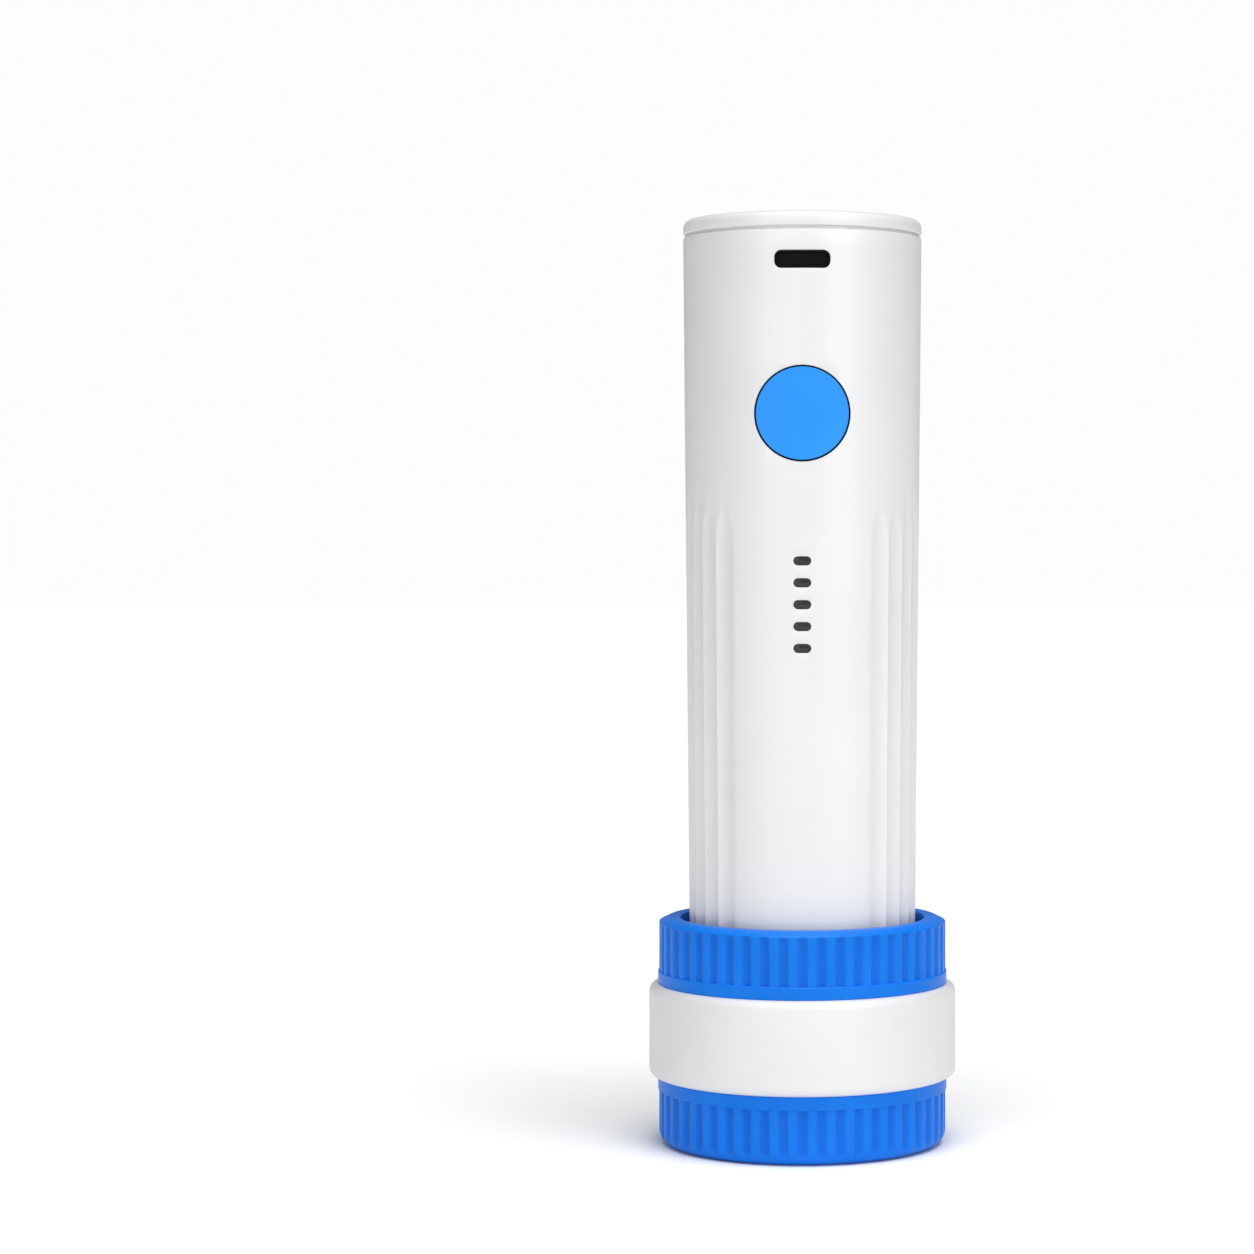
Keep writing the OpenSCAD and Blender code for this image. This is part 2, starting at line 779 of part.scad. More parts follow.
// Outline of gear teeth, each a tooth with involute flanks between two radii
function involute(a) = tan(a) * 180 / PI - a;
function flank_angle(n, play, r) = let (
        pitch_r = gear_module * n / 2,
        base_r = pitch_r * cos(pressure_angle),
        half = (PI * gear_module / 2 - play) / 2 / pitch_r * 180 / PI
    ) half + involute(pressure_angle) - involute(acos(base_r / max(r, base_r)));
function gear_outline(n, play, r_low, r_high) = let (
        base_r = gear_module * n / 2 * cos(pressure_angle),
        start = max(base_r, r_low),
        radii = concat(r_low < base_r ? [r_low] : [], [for (i = [0 : 3]) start + (r_high - start) * i / 3])
    ) [for (tooth = [0 : n - 1], side = [-1, 1], i = [0 : len(radii) - 1]) let (
        r = side < 0 ? radii[i] : radii[len(radii) - 1 - i],
        a = tooth * 360 / n + side * flank_angle(n, play, r)
    ) [r * cos(a), r * sin(a)]];

module gear(n, h) {
    pitch_r = gear_module * n / 2;
    linear_extrude(h)
        polygon(gear_outline(n, tooth_play, pitch_r - dedendum, pitch_r + addendum));
}

module planet(h) {
    difference() {
        rotate([0, 0, 180 / planet_teeth])
            gear(planet_teeth, h);
        translate([0, 0, -1])
            cylinder(r = planet_pin_r + running_gap, h = h + 2);
    }
}

module output_planet(number) {
    color("khaki")
        rotate([0, 0, (number - 1) * 360 / planet_count])
            translate([planet_at, 0, output_planet_z])
                planet(planet_b_h);
}

module input_planet(number) {
    color("ivory")
        rotate([0, 0, (number - 1) * 360 / planet_count])
            translate([planet_at, 0, input_planet_z])
                planet(planet_a_h);
}

module output_carrier() {
    color("darkgray")
        difference() {
            union() {
                rod(carrier_r, output_plate_z, output_plate_z + carrier_t);
                rod(output_r, output_foot_z, output_plate_z + eps);
                around(planet_count, 0, planet_at)
                    rod(planet_pin_r, output_plate_z, output_planet_z + planet_b_h + float_gap);
            }
            rod(worm_wire_r + running_gap, 0, shank_top_z + 0.1);
        }
}

module input_carrier() {
    color("darkgray") {
        rod(carrier_r, input_plate_z, input_plate_z + carrier_t);
        translate([0, 0, output_planet_z])
            gear(sun_teeth, input_plate_z - output_planet_z + eps);
        around(planet_count, 0, planet_at)
            rod(planet_pin_r, input_plate_z, input_planet_z + planet_a_h + float_gap);
    }
}

module motor_sun() {
    color("goldenrod")
        difference() {
            translate([0, 0, input_planet_z])
                gear(sun_teeth, planet_a_h);
            rod(motor_shaft_r + 0.01, 0, motor_z);
        }
}

module gear_deck() {
    color("silver")
        difference() {
            rod(body_r(deck_z) - body_wall - fit_gap, deck_z, deck_top_z);
            rod(output_r + running_gap + bush_wall, 0, motor_z);
            around(3, 30, guide_screw_at)
                rod(guide_screw_r + 0.05, 0, deck_top_z + 1);
            around(3, 90, case_screw_at)
                rod(case_screw_r + 0.05, 0, deck_top_z + 1);
        }
}

module output_bush() {
    color("peru")
        tube(output_r + running_gap + bush_wall - 0.01, output_r + running_gap, deck_z, deck_top_z);
}

module ring_gear() {
    color("darkgray")
        difference() {
            union() {
                rod(gear_case_r, deck_top_z, motor_plate_z);
                around(3, 90, case_screw_at)
                    rod(case_lug_r, deck_top_z, motor_plate_z);
            }
            translate([0, 0, deck_top_z - 1])
                rotate([0, 0, 180 / ring_teeth])
                    linear_extrude(motor_plate_z - deck_top_z + 2)
                        polygon(gear_outline(ring_teeth, -tooth_play, ring_pitch_r - addendum, ring_root_r));
            around(3, 90, case_screw_at)
                rod(case_screw_r + 0.05, 0, motor_z);
        }
}

// ---- Motor

module motor_plate() {
    color("silver")
        difference() {
            union() {
                rod(gear_case_r, motor_plate_z, motor_z);
                around(3, 90, case_screw_at)
                    rod(case_lug_r, motor_plate_z, motor_z);
                translate([-board_half_w + 1, -board_at, motor_plate_z])
                    cube([2 * board_half_w - 2, board_at - motor_r, motor_plate_t]);
            }
            rod(motor_boss_r + fit_gap, 0, motor_z + 1);
            around(3, 90, case_screw_at)
                rod(case_screw_r + 0.05, 0, motor_z + 1);
            around(2, 0, motor_screw_at) {
                rod(motor_screw_r + 0.05, 0, motor_z + 1);
                rod(motor_screw_head_r + 0.1, 0, motor_plate_z + motor_screw_head_h + 0.1);
            }
            board_screw_spots(motor_plate_z + motor_plate_t / 2)
                circle(r = board_screw_r + 0.02);
        }
}

module case_screws() {
    color("silver")
        around(3, 90, case_screw_at) {
            rod(case_screw_head_r, motor_z, motor_z + case_screw_head_h);
            rod(case_screw_r, deck_z + 0.4, motor_z + eps);
        }
}

module motor_screws() {
    color("silver")
        around(2, 0, motor_screw_at) {
            rod(motor_screw_head_r, motor_plate_z + 0.1, motor_plate_z + motor_screw_head_h + 0.1);
            rod(motor_screw_r, motor_plate_z + motor_screw_head_h, motor_z + 2);
        }
}

module motor_can() {
    color("gainsboro")
        difference() {
            union() {
                rod(motor_r, motor_z, motor_end_z);
                rod(motor_boss_r, motor_z - motor_boss_h, motor_z + eps);
            }
            rod(motor_r - motor_wall, motor_z + 1, motor_end_z + 1);
            rod(motor_shaft_r + running_gap, 0, motor_end_z);
            around(2, 0, motor_screw_at)
                rod(motor_screw_r + 0.02, 0, motor_z + 3);
        }
}

module motor_end_cap() {
    color("black")
        difference() {
            union() {
                rod(motor_r, motor_end_z, cradle_z);
                rod(motor_r - motor_wall - 0.05, motor_end_z - 1.5, motor_end_z + eps);
            }
            rod(motor_shaft_r + running_gap, 0, cradle_z - 0.5);
            terminal_slots(running_gap);
        }
}

// Slots for the two terminals, with a gap all round
module terminal_slots(gap) {
    for (side = [-1, 1])
        translate([-terminal_w / 2 - gap, side * terminal_at - terminal_t / 2 - gap, motor_end_z])
            cube([terminal_w + 2 * gap, terminal_t + 2 * gap, far]);
}

module motor_terminals() {
    color("gold")
        for (side = [-1, 1])
            translate([-terminal_w / 2, side * terminal_at - terminal_t / 2, motor_end_z])
                cube([terminal_w, terminal_t, motor_end_t + cradle_floor]);
}

module motor_magnets() {
    r_out = motor_r - motor_wall - 0.02;
    color("dimgray")
        difference() {
            tube(r_out, r_out - magnet_t, motor_z + 3, motor_end_z - 3);
            for (side = [0, 180])
                rotate([0, 0, side + 60])
                    translate([0, 0, motor_z])
                        linear_extrude(motor_h)
                            polygon([[0, 0], [far, 0], [far * cos(60), far * sin(60)]]);
        }
}

module motor_shaft() {
    color("silver")
        rod(motor_shaft_r, input_planet_z, cradle_z - 0.8);
}

// Three poles on a round core
module armature() {
    core_r = 3.4;
    shoe_t = 1.6;
    shoe_half = 42;
    color("slategray")
        translate([0, 0, motor_z + 4])
            linear_extrude(motor_h - 8)
                difference() {
                    union() {
                        circle(r = core_r);
                        intersection() {
                            difference() {
                                circle(r = armature_r);
                                circle(r = armature_r - shoe_t);
                            }
                            for (pole = [0, 120, 240])
                                rotate(pole)
                                    polygon([[0, 0], [far * cos(shoe_half), -far * sin(shoe_half)],
                                        [far * cos(shoe_half), far * sin(shoe_half)]]);
                        }
                        for (pole = [0, 120, 240])
                            rotate(pole)
                                translate([core_r - 1, -1.5])
                                    square([armature_r - shoe_t - core_r + 1.4, 3]);
                    }
                    circle(r = motor_shaft_r + 0.01);
                }
}

// ---- Batteries and boards

module cell_spots() {
    for (side = [-1, 1])
        translate([side * cell_at, 0, 0])
            children();
}

module battery_cradle() {
    saddle_front = tab_w / 2 + 0.5;
    saddle_back = 11;
    color("darkslategray")
        difference() {
            union() {
                intersection() {
                    rod(body_r(cradle_z) - body_wall - 0.3, cradle_z, cradle_z + cradle_floor);
                    translate([-far, -board_at, cradle_z - 1])
                        cube([2 * far, 2 * far, cradle_floor + 2]);
                }
                translate([-cell_at - 4, saddle_front, cradle_z])
                    cube([2 * cell_at + 8, saddle_back - saddle_front, charge_z - cradle_z]);
            }
            cell_spots()
                rod(cell_r + fit_gap, cradle_z + cradle_floor, cell_z + cell_h + 0.4);
            terminal_slots(fit_gap);
            board_screw_spots(cradle_z + cradle_floor / 2)
                circle(r = board_screw_r + 0.02);
        }
}

module battery_cell(side) {
    nub_r = 3;
    color("teal")
        translate([side * cell_at, 0, 0]) {
            rod(cell_r, cell_z, cell_z + cell_h - 0.8);
            rod(nub_r, cell_z + cell_h - 0.8 - eps, cell_z + cell_h);
        }
}

module battery_tabs() {
    color("lightgray") {
        translate([-cell_at - tab_w / 2, -tab_w / 2, cell_z + cell_h])
            cube([2 * cell_at + tab_w, tab_w, tab_t]);
        cell_spots()
            translate([-tab_w / 2, -tab_w / 2, cell_z - tab_t])
                cube([tab_w, tab_w, tab_t]);
    }
}

module board_screw_spots(z) {
    for (side = [-1, 1])
        translate([side * board_screw_at, -board_at + 4, z])
            rotate([90, 0, 0])
                linear_extrude(8)
                    children();
}

module control_board() {
    color("darkgreen")
        difference() {
            translate([-board_half_w, -board_front, board_z])
                cube([2 * board_half_w, board_t, board_top_z - board_z]);
            board_screw_spots(motor_plate_z + motor_plate_t / 2)
                circle(r = board_screw_r + 0.05);
            board_screw_spots(cradle_z + cradle_floor / 2)
                circle(r = board_screw_r + 0.05);
        }
}

module board_screws() {
    color("silver")
        for (z = [motor_plate_z + motor_plate_t / 2, cradle_z + cradle_floor / 2], side = [-1, 1])
            translate([side * board_screw_at, -board_front, z])
                rotate([90, 0, 0]) {
                    cylinder(r = board_screw_head_r, h = board_screw_head_h);
                    translate([0, 0, -board_t - board_screw_bite])
                        cylinder(r = board_screw_r, h = board_t + board_screw_bite + eps);
                }
}

module tact_switch() {
    color("black")
        difference() {
            translate([-switch_side / 2, -switch_front, button_z - switch_side / 2])
                cube([switch_side, switch_t, switch_side]);
            translate([0, -plunger_well, button_z])
                rotate([90, 0, 0])
                    cylinder(r = plunger_r + running_gap, h = far);
        }
}

module indicator_leds() {
    led = [1.6, 0.6, 0.8];
    color("khaki")
        for (i = [0 : light_count - 1])
            translate([-led[0] / 2, -board_front - led[1], light_z + i * light_pitch - led[2] / 2])
                cube(led);
}

// Five clear plugs on one strip behind the wall
module indicator_lenses() {
    strip_w = light_w + 2;
    strip_z = light_z - light_pitch / 2;
    strip_top_z = light_z + (light_count - 0.5) * light_pitch;
    color("dimgray") {
        intersection() {
            difference() {
                body_cone(0.15, strip_z, strip_top_z);
                body_cone(body_wall + 0.3, strip_z - 1, strip_top_z + 1);
            }
            light_spots()
                slot_shape(light_w - 2 * fit_gap, light_h - 2 * fit_gap);
        }
        intersection() {
            difference() {
                body_cone(body_wall + fit_gap, strip_z, strip_top_z);
                body_cone(body_wall + 1, strip_z - 1, strip_top_z + 1);
            }
            translate([-strip_w / 2, -far, 0])
                cube([strip_w, far, 2 * far + strip_top_z]);
        }
    }
}

module charge_board() {
    half_w = 8;
    back = 9;
    color("darkgreen")
        translate([-half_w, -usb_front + 1, charge_z])
            cube([2 * half_w, usb_front - 1 + back, board_t]);
}

module usb_shell() {
    color("silver")
        translate([0, -usb_front, slot_z])
            rotate([-90, 0, 0])
                difference() {
                    linear_extrude(usb_l)
                        slot_shape(usb_w, usb_t);
                    translate([0, 0, -1])
                        linear_extrude(usb_l)
                            slot_shape(usb_w - 2 * usb_wall, usb_t - 2 * usb_wall);
                }
}

module usb_tongue() {
    tongue_w = 6.7;
    tongue_t = 0.7;
    color("black")
        translate([-tongue_w / 2, -usb_front + 0.9, slot_z - tongue_t / 2])
            cube([tongue_w, usb_l - 1.9, tongue_t]);
}

// Black frame of the charging slot, with its flange behind the wall
module port_bezel() {
    color("black")
        difference() {
            union() {
                intersection() {
                    difference() {
                        body_cone(0.5, slot_z - 4, slot_z + 4);
                        body_cone(body_wall + 0.3, slot_z - 5, slot_z + 5);
                    }
                    front_plug(slot_z)
                        round_rect(slot_w - 2 * fit_gap, slot_t - 2 * fit_gap, slot_round - fit_gap);
                }
                intersection() {
                    body_cone(body_wall + fit_gap, slot_z - 4, slot_z + 4);
                    front_plug(slot_z, usb_front)
                        round_rect(slot_w + 1.4, slot_t + 0.8, slot_round);
                }
            }
            front_plug(slot_z)
                slot_shape(usb_w - 2 * usb_wall, usb_t - 2 * usb_wall);
        }
}

// ---- Button

module button() {
    cap_r = button_hole_r - button_gap;
    inner = body_wall + fit_gap + button_lip_t;
    color("dodgerblue") {
        intersection() {
            difference() {
                body_cone(-button_proud, button_z - 15, button_z + 15);
                body_cone(inner, button_z - 16, button_z + 16);
            }
            front_plug(button_z)
                circle(r = cap_r);
        }
        intersection() {
            difference() {
                body_cone(body_wall + fit_gap, button_z - 15, button_z + 15);
                body_cone(inner, button_z - 16, button_z + 16);
            }
            front_plug(button_z)
                circle(r = button_hole_r + button_lip);
        }
    }
}

module switch_plunger() {
    back = plunger_well + button_travel + running_gap;
    button_back = body_r(button_z - plunger_r) - body_wall - fit_gap - button_lip_t;
    color("gray")
        translate([0, -back, button_z])
            rotate([90, 0, 0])
                cylinder(r = plunger_r, h = button_back - fit_gap - back);
}

cutter_ring();
cutter_cover();
cutter_pins();
cutter_screws();
cutting_wheel(1);  // cutting_wheel_1
cutting_wheel(2);  // cutting_wheel_2
cutting_wheel(3);  // cutting_wheel_3
cutting_wheel(4);  // cutting_wheel_4
docking_cup();
stand_band();
docking_pad();
housing();
top_cap();
cap_disc();
mouth_ring();
bottle_guide();
lip_bumper();
guide_screws();
gear_deck();
output_bush();
ring_gear();
motor_plate();
case_screws();
motor_screws();
motor_can();
motor_end_cap();
motor_magnets();
motor_terminals();
battery_cradle();
battery_cell(-1);  // battery_cell_left
battery_cell(1);  // battery_cell_right
battery_tabs();
control_board();
board_screws();
tact_switch();
indicator_leds();
indicator_lenses();
charge_board();
usb_shell();
usb_tongue();
port_bezel();
button();
switch_plunger();
worm();
worm_collar();
output_carrier();
output_planet(1);  // output_planet_1
output_planet(2);  // output_planet_2
output_planet(3);  // output_planet_3
input_carrier();
input_planet(1);  // input_planet_1
input_planet(2);  // input_planet_2
input_planet(3);  // input_planet_3
motor_shaft();
armature();
motor_sun();
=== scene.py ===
import bpy
import json
import math
from mathutils import Matrix, Vector

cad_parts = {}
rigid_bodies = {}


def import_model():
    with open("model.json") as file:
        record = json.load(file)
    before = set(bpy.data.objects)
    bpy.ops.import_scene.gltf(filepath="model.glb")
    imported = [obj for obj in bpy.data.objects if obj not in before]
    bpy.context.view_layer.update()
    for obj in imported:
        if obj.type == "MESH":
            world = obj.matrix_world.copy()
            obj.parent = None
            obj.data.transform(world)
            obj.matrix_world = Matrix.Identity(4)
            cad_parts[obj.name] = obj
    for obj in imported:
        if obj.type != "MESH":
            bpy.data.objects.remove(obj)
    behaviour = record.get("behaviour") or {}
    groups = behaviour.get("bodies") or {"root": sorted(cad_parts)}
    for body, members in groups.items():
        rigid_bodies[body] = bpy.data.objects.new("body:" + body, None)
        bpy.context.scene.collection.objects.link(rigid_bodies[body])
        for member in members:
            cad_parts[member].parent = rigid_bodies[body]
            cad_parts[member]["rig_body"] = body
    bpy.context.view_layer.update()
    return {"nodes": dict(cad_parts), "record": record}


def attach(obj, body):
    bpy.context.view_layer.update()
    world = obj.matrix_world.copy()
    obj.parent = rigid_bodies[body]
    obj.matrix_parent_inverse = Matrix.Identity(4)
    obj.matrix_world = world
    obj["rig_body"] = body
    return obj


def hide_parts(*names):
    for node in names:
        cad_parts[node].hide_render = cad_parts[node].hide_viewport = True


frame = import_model()
nodes = frame["nodes"]
mm = 0.001
print("frame loaded,", len(nodes), "nodes")

# camera first: level, a little above the middle of the opener
camera = {"place": (0, -0.693, 0.1261), "lens": 94.74, "shiftX": -0.1398, "shiftY": -0.0694}
bpy.ops.object.select_all(action="DESELECT")
bpy.ops.object.camera_add(location=camera["place"], rotation=(math.radians(90), 0, 0))
view = bpy.context.object
view.data.lens = camera["lens"]
view.data.sensor_width = 36
view.data.shift_x = camera["shiftX"]
view.data.shift_y = camera["shiftY"]
bpy.context.scene.camera = view
bpy.context.scene.view_settings.view_transform = "Standard"


# helpers for modelling

def selectWhere(piece, pick):
    # leaves edit mode with just those vertices chosen
    bpy.ops.object.mode_set(mode="EDIT")
    bpy.ops.mesh.select_mode(type="VERT")
    bpy.ops.mesh.select_all(action="DESELECT")
    bpy.ops.object.mode_set(mode="OBJECT")
    chosen = 0
    for point in piece.data.vertices:
        if pick(point.co):
            point.select = True
            chosen += 1
    bpy.ops.object.mode_set(mode="EDIT")
    return chosen


def startPoint(name, radius, height):
    # one vertex on the +X side, to be drawn out into an outline
    bpy.ops.object.select_all(action="DESELECT")
    bpy.ops.mesh.primitive_plane_add(size=mm, location=(radius * mm, 0, height * mm))
    piece = bpy.context.object
    piece.name = name
    bpy.ops.object.transform_apply(location=True)
    bpy.ops.object.mode_set(mode="EDIT")
    bpy.ops.mesh.select_mode(type="VERT")
    bpy.ops.mesh.select_all(action="SELECT")
    bpy.ops.mesh.merge(type="CENTER")
    return piece


def turned(name, outline, sweeps=((360, 128),), closed=True, start=0):
    # an outline of (radius, height) in mm, spun round the axis in one or more sweeps of (degrees, steps)
    piece = startPoint(name, *outline[0])
    for (r0, z0), (r1, z1) in zip(outline, outline[1:]):
        bpy.ops.mesh.extrude_vertices_move(TRANSFORM_OT_translate={"value": ((r1 - r0) * mm, 0, (z1 - z0) * mm)})
    if closed:
        selectWhere(piece, lambda p: abs(p.x - outline[0][0] * mm) < 1e-7 and abs(p.z - outline[0][1] * mm) < 1e-7
                    or abs(p.x - outline[-1][0] * mm) < 1e-7 and abs(p.z - outline[-1][1] * mm) < 1e-7)
        bpy.ops.mesh.edge_face_add()
    bpy.ops.mesh.select_all(action="SELECT")
    if start:
        bpy.ops.mesh.spin(steps=1, angle=math.radians(start), center=(0, 0, 0), axis=(0, 0, -1))
        bpy.ops.mesh.select_all(action="INVERT")
        bpy.ops.mesh.delete(type="VERT")
        bpy.ops.mesh.select_all(action="SELECT")
    for degrees, steps in sweeps:
        bpy.ops.mesh.spin(steps=steps, angle=math.radians(degrees), center=(0, 0, 0), axis=(0, 0, -1))
    closeUp()
    return piece


def closeUp():
    # merges what meets on the active piece and turns every face outwards
    bpy.ops.object.mode_set(mode="EDIT")
    bpy.ops.mesh.select_all(action="SELECT")
    bpy.ops.mesh.remove_doubles(threshold=0.002 * mm)
    bpy.ops.mesh.normals_make_consistent(inside=False)
    bpy.ops.object.mode_set(mode="OBJECT")


def repeated(model, angles):
    # copies of one sector round the axis, each with its own mesh; the model itself goes
    copies = []
    for angle in angles:
        copy = model.copy()
        copy.data = model.data.copy()
        copy.data.transform(Matrix.Rotation(math.radians(angle), 4, "Z"))
        bpy.context.collection.objects.link(copy)
        copies.append(copy)
    bpy.data.objects.remove(model)
    return copies


def pressIn(piece, newRadius):
    # draws vertices to a new distance from the axis, all of one ratio in one go
    groups = {}
    for point in piece.data.vertices:
        r = math.hypot(point.co.x, point.co.y)
        target = newRadius(r / mm, math.degrees(math.atan2(point.co.y, point.co.x)), point.co.z / mm)
        if target is not None and abs(target * mm - r) > 1e-6:
            groups.setdefault(round(target * mm / r, 5), set()).add(tuple(point.co))
    for ratio, members in groups.items():
        selectWhere(piece, lambda p: tuple(p) in members)
        bpy.ops.transform.resize(value=(ratio, ratio, 1), center_override=(0, 0, 0))
        bpy.ops.object.mode_set(mode="OBJECT")


def useModifier(piece, kind, **settings):
    bpy.ops.object.select_all(action="DESELECT")
    piece.select_set(True)
    bpy.context.view_layer.objects.active = piece
    modifier = piece.modifiers.new(kind.lower(), kind)
    for key, value in settings.items():
        setattr(modifier, key, value)
    bpy.ops.object.modifier_apply(modifier=modifier.name)


def cutWith(piece, cutter):
    useModifier(piece, "BOOLEAN", operation="DIFFERENCE", object=cutter, solver="EXACT")
    bpy.data.objects.remove(cutter)


def joined(pieces, name):
    bpy.ops.object.select_all(action="DESELECT")
    for piece in pieces:
        piece.select_set(True)
    bpy.context.view_layer.objects.active = pieces[0]
    if len(pieces) > 1:
        bpy.ops.object.join()
    pieces[0].name = name
    return pieces[0]


def roundCorner(r, z, radius, start, end, steps):
    # points of an arc about (r, z), from one angle to another in degrees
    points = []
    for i in range(steps + 1):
        a = math.radians(start + (end - start) * i / steps)
        points.append((r + radius * math.cos(a), z + radius * math.sin(a)))
    return points


def finishPiece(piece, body, material, stands, smooth=30):
    bpy.ops.object.select_all(action="DESELECT")
    piece.select_set(True)
    bpy.context.view_layer.objects.active = piece
    if smooth:
        bpy.ops.object.shade_smooth_by_angle(angle=math.radians(smooth))
    piece.data.materials.clear()
    piece.data.materials.append(material)
    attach(piece, body)
    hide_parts(*stands)
    print("made", piece.name, len(piece.data.polygons), "faces")


# finishes

def startMaterial(name):
    made = bpy.data.materials.new(name)
    made.use_nodes = True
    shader = made.node_tree.nodes["Principled BSDF"]
    place = made.node_tree.nodes.new("ShaderNodeTexCoord")
    return made, made.node_tree, shader, place.outputs["Object"]


def grain(tree, place, scale, detail=2, stretch=None):
    if stretch:
        mapping = tree.nodes.new("ShaderNodeMapping")
        mapping.inputs["Scale"].default_value = stretch
        tree.links.new(place, mapping.inputs["Vector"])
        place = mapping.outputs["Vector"]
    noise = tree.nodes.new("ShaderNodeTexNoise")
    noise.inputs["Scale"].default_value = scale
    noise.inputs["Detail"].default_value = detail
    tree.links.new(place, noise.inputs["Vector"])
    return noise.outputs["Fac"]


def spread(tree, source, low, high):
    ranged = tree.nodes.new("ShaderNodeMapRange")
    ranged.inputs["From Min"].default_value = 0.3
    ranged.inputs["From Max"].default_value = 0.7
    ranged.inputs["To Min"].default_value = low
    ranged.inputs["To Max"].default_value = high
    tree.links.new(source, ranged.inputs["Value"])
    return ranged.outputs["Result"]


def tint(tree, source, dark, light):
    ramp = tree.nodes.new("ShaderNodeValToRGB")
    ramp.color_ramp.elements[0].position = 0.3
    ramp.color_ramp.elements[0].color = (*dark, 1)
    ramp.color_ramp.elements[1].position = 0.7
    ramp.color_ramp.elements[1].color = (*light, 1)
    tree.links.new(source, ramp.inputs["Fac"])
    return ramp.outputs["Color"]


def bumps(tree, shader, source, strength, depth):
    bump = tree.nodes.new("ShaderNodeBump")
    bump.inputs["Strength"].default_value = strength
    bump.inputs["Distance"].default_value = depth
    tree.links.new(source, bump.inputs["Height"])
    tree.links.new(bump.outputs["Normal"], shader.inputs["Normal"])


def finish(name, dark, light, rough, grainScale, bumpDepth, metallic=0, coat=0, coatRough=0.1,
           cloud=60, stretch=None, bumpStrength=0.5, sheen=0, ior=1.5, specular=0.5):
    # soft clouding in the colour, fine grain in the gloss and the surface
    made, tree, shader, place = startMaterial(name)
    clouds = grain(tree, place, cloud, 3, stretch)
    fine = grain(tree, place, grainScale, 3, stretch)
    tree.links.new(tint(tree, clouds, dark, light), shader.inputs["Base Color"])
    tree.links.new(spread(tree, fine, *rough), shader.inputs["Roughness"])
    bumps(tree, shader, fine, bumpStrength, bumpDepth)
    shader.inputs["Metallic"].default_value = metallic
    shader.inputs["IOR"].default_value = ior
    shader.inputs["Specular IOR Level"].default_value = specular
    shader.inputs["Coat Weight"].default_value = coat
    shader.inputs["Coat Roughness"].default_value = coatRough
    shader.inputs["Sheen Weight"].default_value = sheen
    return made


def grey(value):
    return (value, value, value)


finishes = {
    "pearlWhite": finish("pearlWhite", (0.745, 0.745, 0.755), (0.775, 0.775, 0.78), (0.36, 0.42), 2600, 0.00001,
                         metallic=0.1, cloud=40, bumpStrength=0.25),
    "bandWhite": finish("bandWhite", (0.72, 0.72, 0.725), (0.75, 0.75, 0.75), (0.38, 0.46), 2400, 0.00001,
                        metallic=0.08, cloud=50, bumpStrength=0.25),
    "gripBlue": finish("gripBlue", (0.002, 0.165, 0.70), (0.005, 0.185, 0.77), (0.34, 0.42), 2200, 0.00001,
                       cloud=70, bumpStrength=0.3, specular=0.2, ior=1.4),
    "buttonBlue": finish("buttonBlue", (0.020, 0.27, 0.90), (0.026, 0.295, 0.95), (0.34, 0.42), 2800, 0.00001,
                         cloud=90, bumpStrength=0.2, specular=0.15),
    "glossBlack": finish("glossBlack", grey(0.006), grey(0.010), (0.06, 0.12), 1500, 0.00001, coat=0.4,
                         coatRough=0.05, bumpStrength=0.1),
    "portBlack": finish("portBlack", grey(0.002), grey(0.004), (0.5, 0.65), 3000, 0.00002, specular=0.1),
    "darkPlastic": finish("darkPlastic", grey(0.03), grey(0.045), (0.45, 0.6), 2600, 0.00004),
    "greyPlastic": finish("greyPlastic", grey(0.16), grey(0.20), (0.45, 0.6), 2400, 0.00004),
    "lightPlastic": finish("lightPlastic", (0.62, 0.62, 0.60), (0.68, 0.68, 0.66), (0.4, 0.52), 2400, 0.00003),
    "gearPlastic": finish("gearPlastic", (0.70, 0.68, 0.60), (0.76, 0.74, 0.67), (0.38, 0.5), 2600, 0.00003),
    "softRubber": finish("softRubber", grey(0.025), grey(0.04), (0.7, 0.85), 3200, 0.00006, sheen=0.2),
    "brightSteel": finish("brightSteel", grey(0.62), grey(0.70), (0.14, 0.26), 1800, 0.00001, metallic=1,
                          stretch=(1, 1, 0.08)),
    "zincPlate": finish("zincPlate", (0.58, 0.60, 0.62), (0.68, 0.69, 0.69), (0.28, 0.42), 1600, 0.00002,
                        metallic=1, cloud=200),
    "castMetal": finish("castMetal", grey(0.36), grey(0.44), (0.42, 0.6), 1400, 0.00006, metallic=1),
    "sinteredSteel": finish("sinteredSteel", grey(0.30), grey(0.40), (0.4, 0.55), 3500, 0.00005, metallic=1),
    "oiledBronze": finish("oiledBronze", (0.42, 0.24, 0.10), (0.52, 0.31, 0.13), (0.32, 0.45), 3000, 0.00004,
                          metallic=1),
    "magnetFerrite": finish("magnetFerrite", grey(0.035), grey(0.06), (0.5, 0.65), 2600, 0.00003, metallic=0.4),
    "boardGreen": finish("boardGreen", (0.005, 0.09, 0.03), (0.012, 0.15, 0.05), (0.3, 0.42), 900, 0.00003,
                         coat=0.3, cloud=500),
    "cellWrap": finish("cellWrap", (0.03, 0.20, 0.16), (0.045, 0.25, 0.20), (0.3, 0.4), 1800, 0.00002, coat=0.3),
    "ledResin": finish("ledResin", (0.75, 0.62, 0.15), (0.85, 0.72, 0.25), (0.25, 0.35), 2500, 0.00001),
}


def lensFinish():
    made, tree, shader, place = startMaterial("smokedLens")
    fine = grain(tree, place, 2500, 2)
    tree.links.new(tint(tree, fine, grey(0.020), grey(0.030)), shader.inputs["Base Color"])
    tree.links.new(spread(tree, fine, 0.12, 0.2), shader.inputs["Roughness"])
    shader.inputs["Transmission Weight"].default_value = 0.15
    shader.inputs["IOR"].default_value = 1.49
    return made


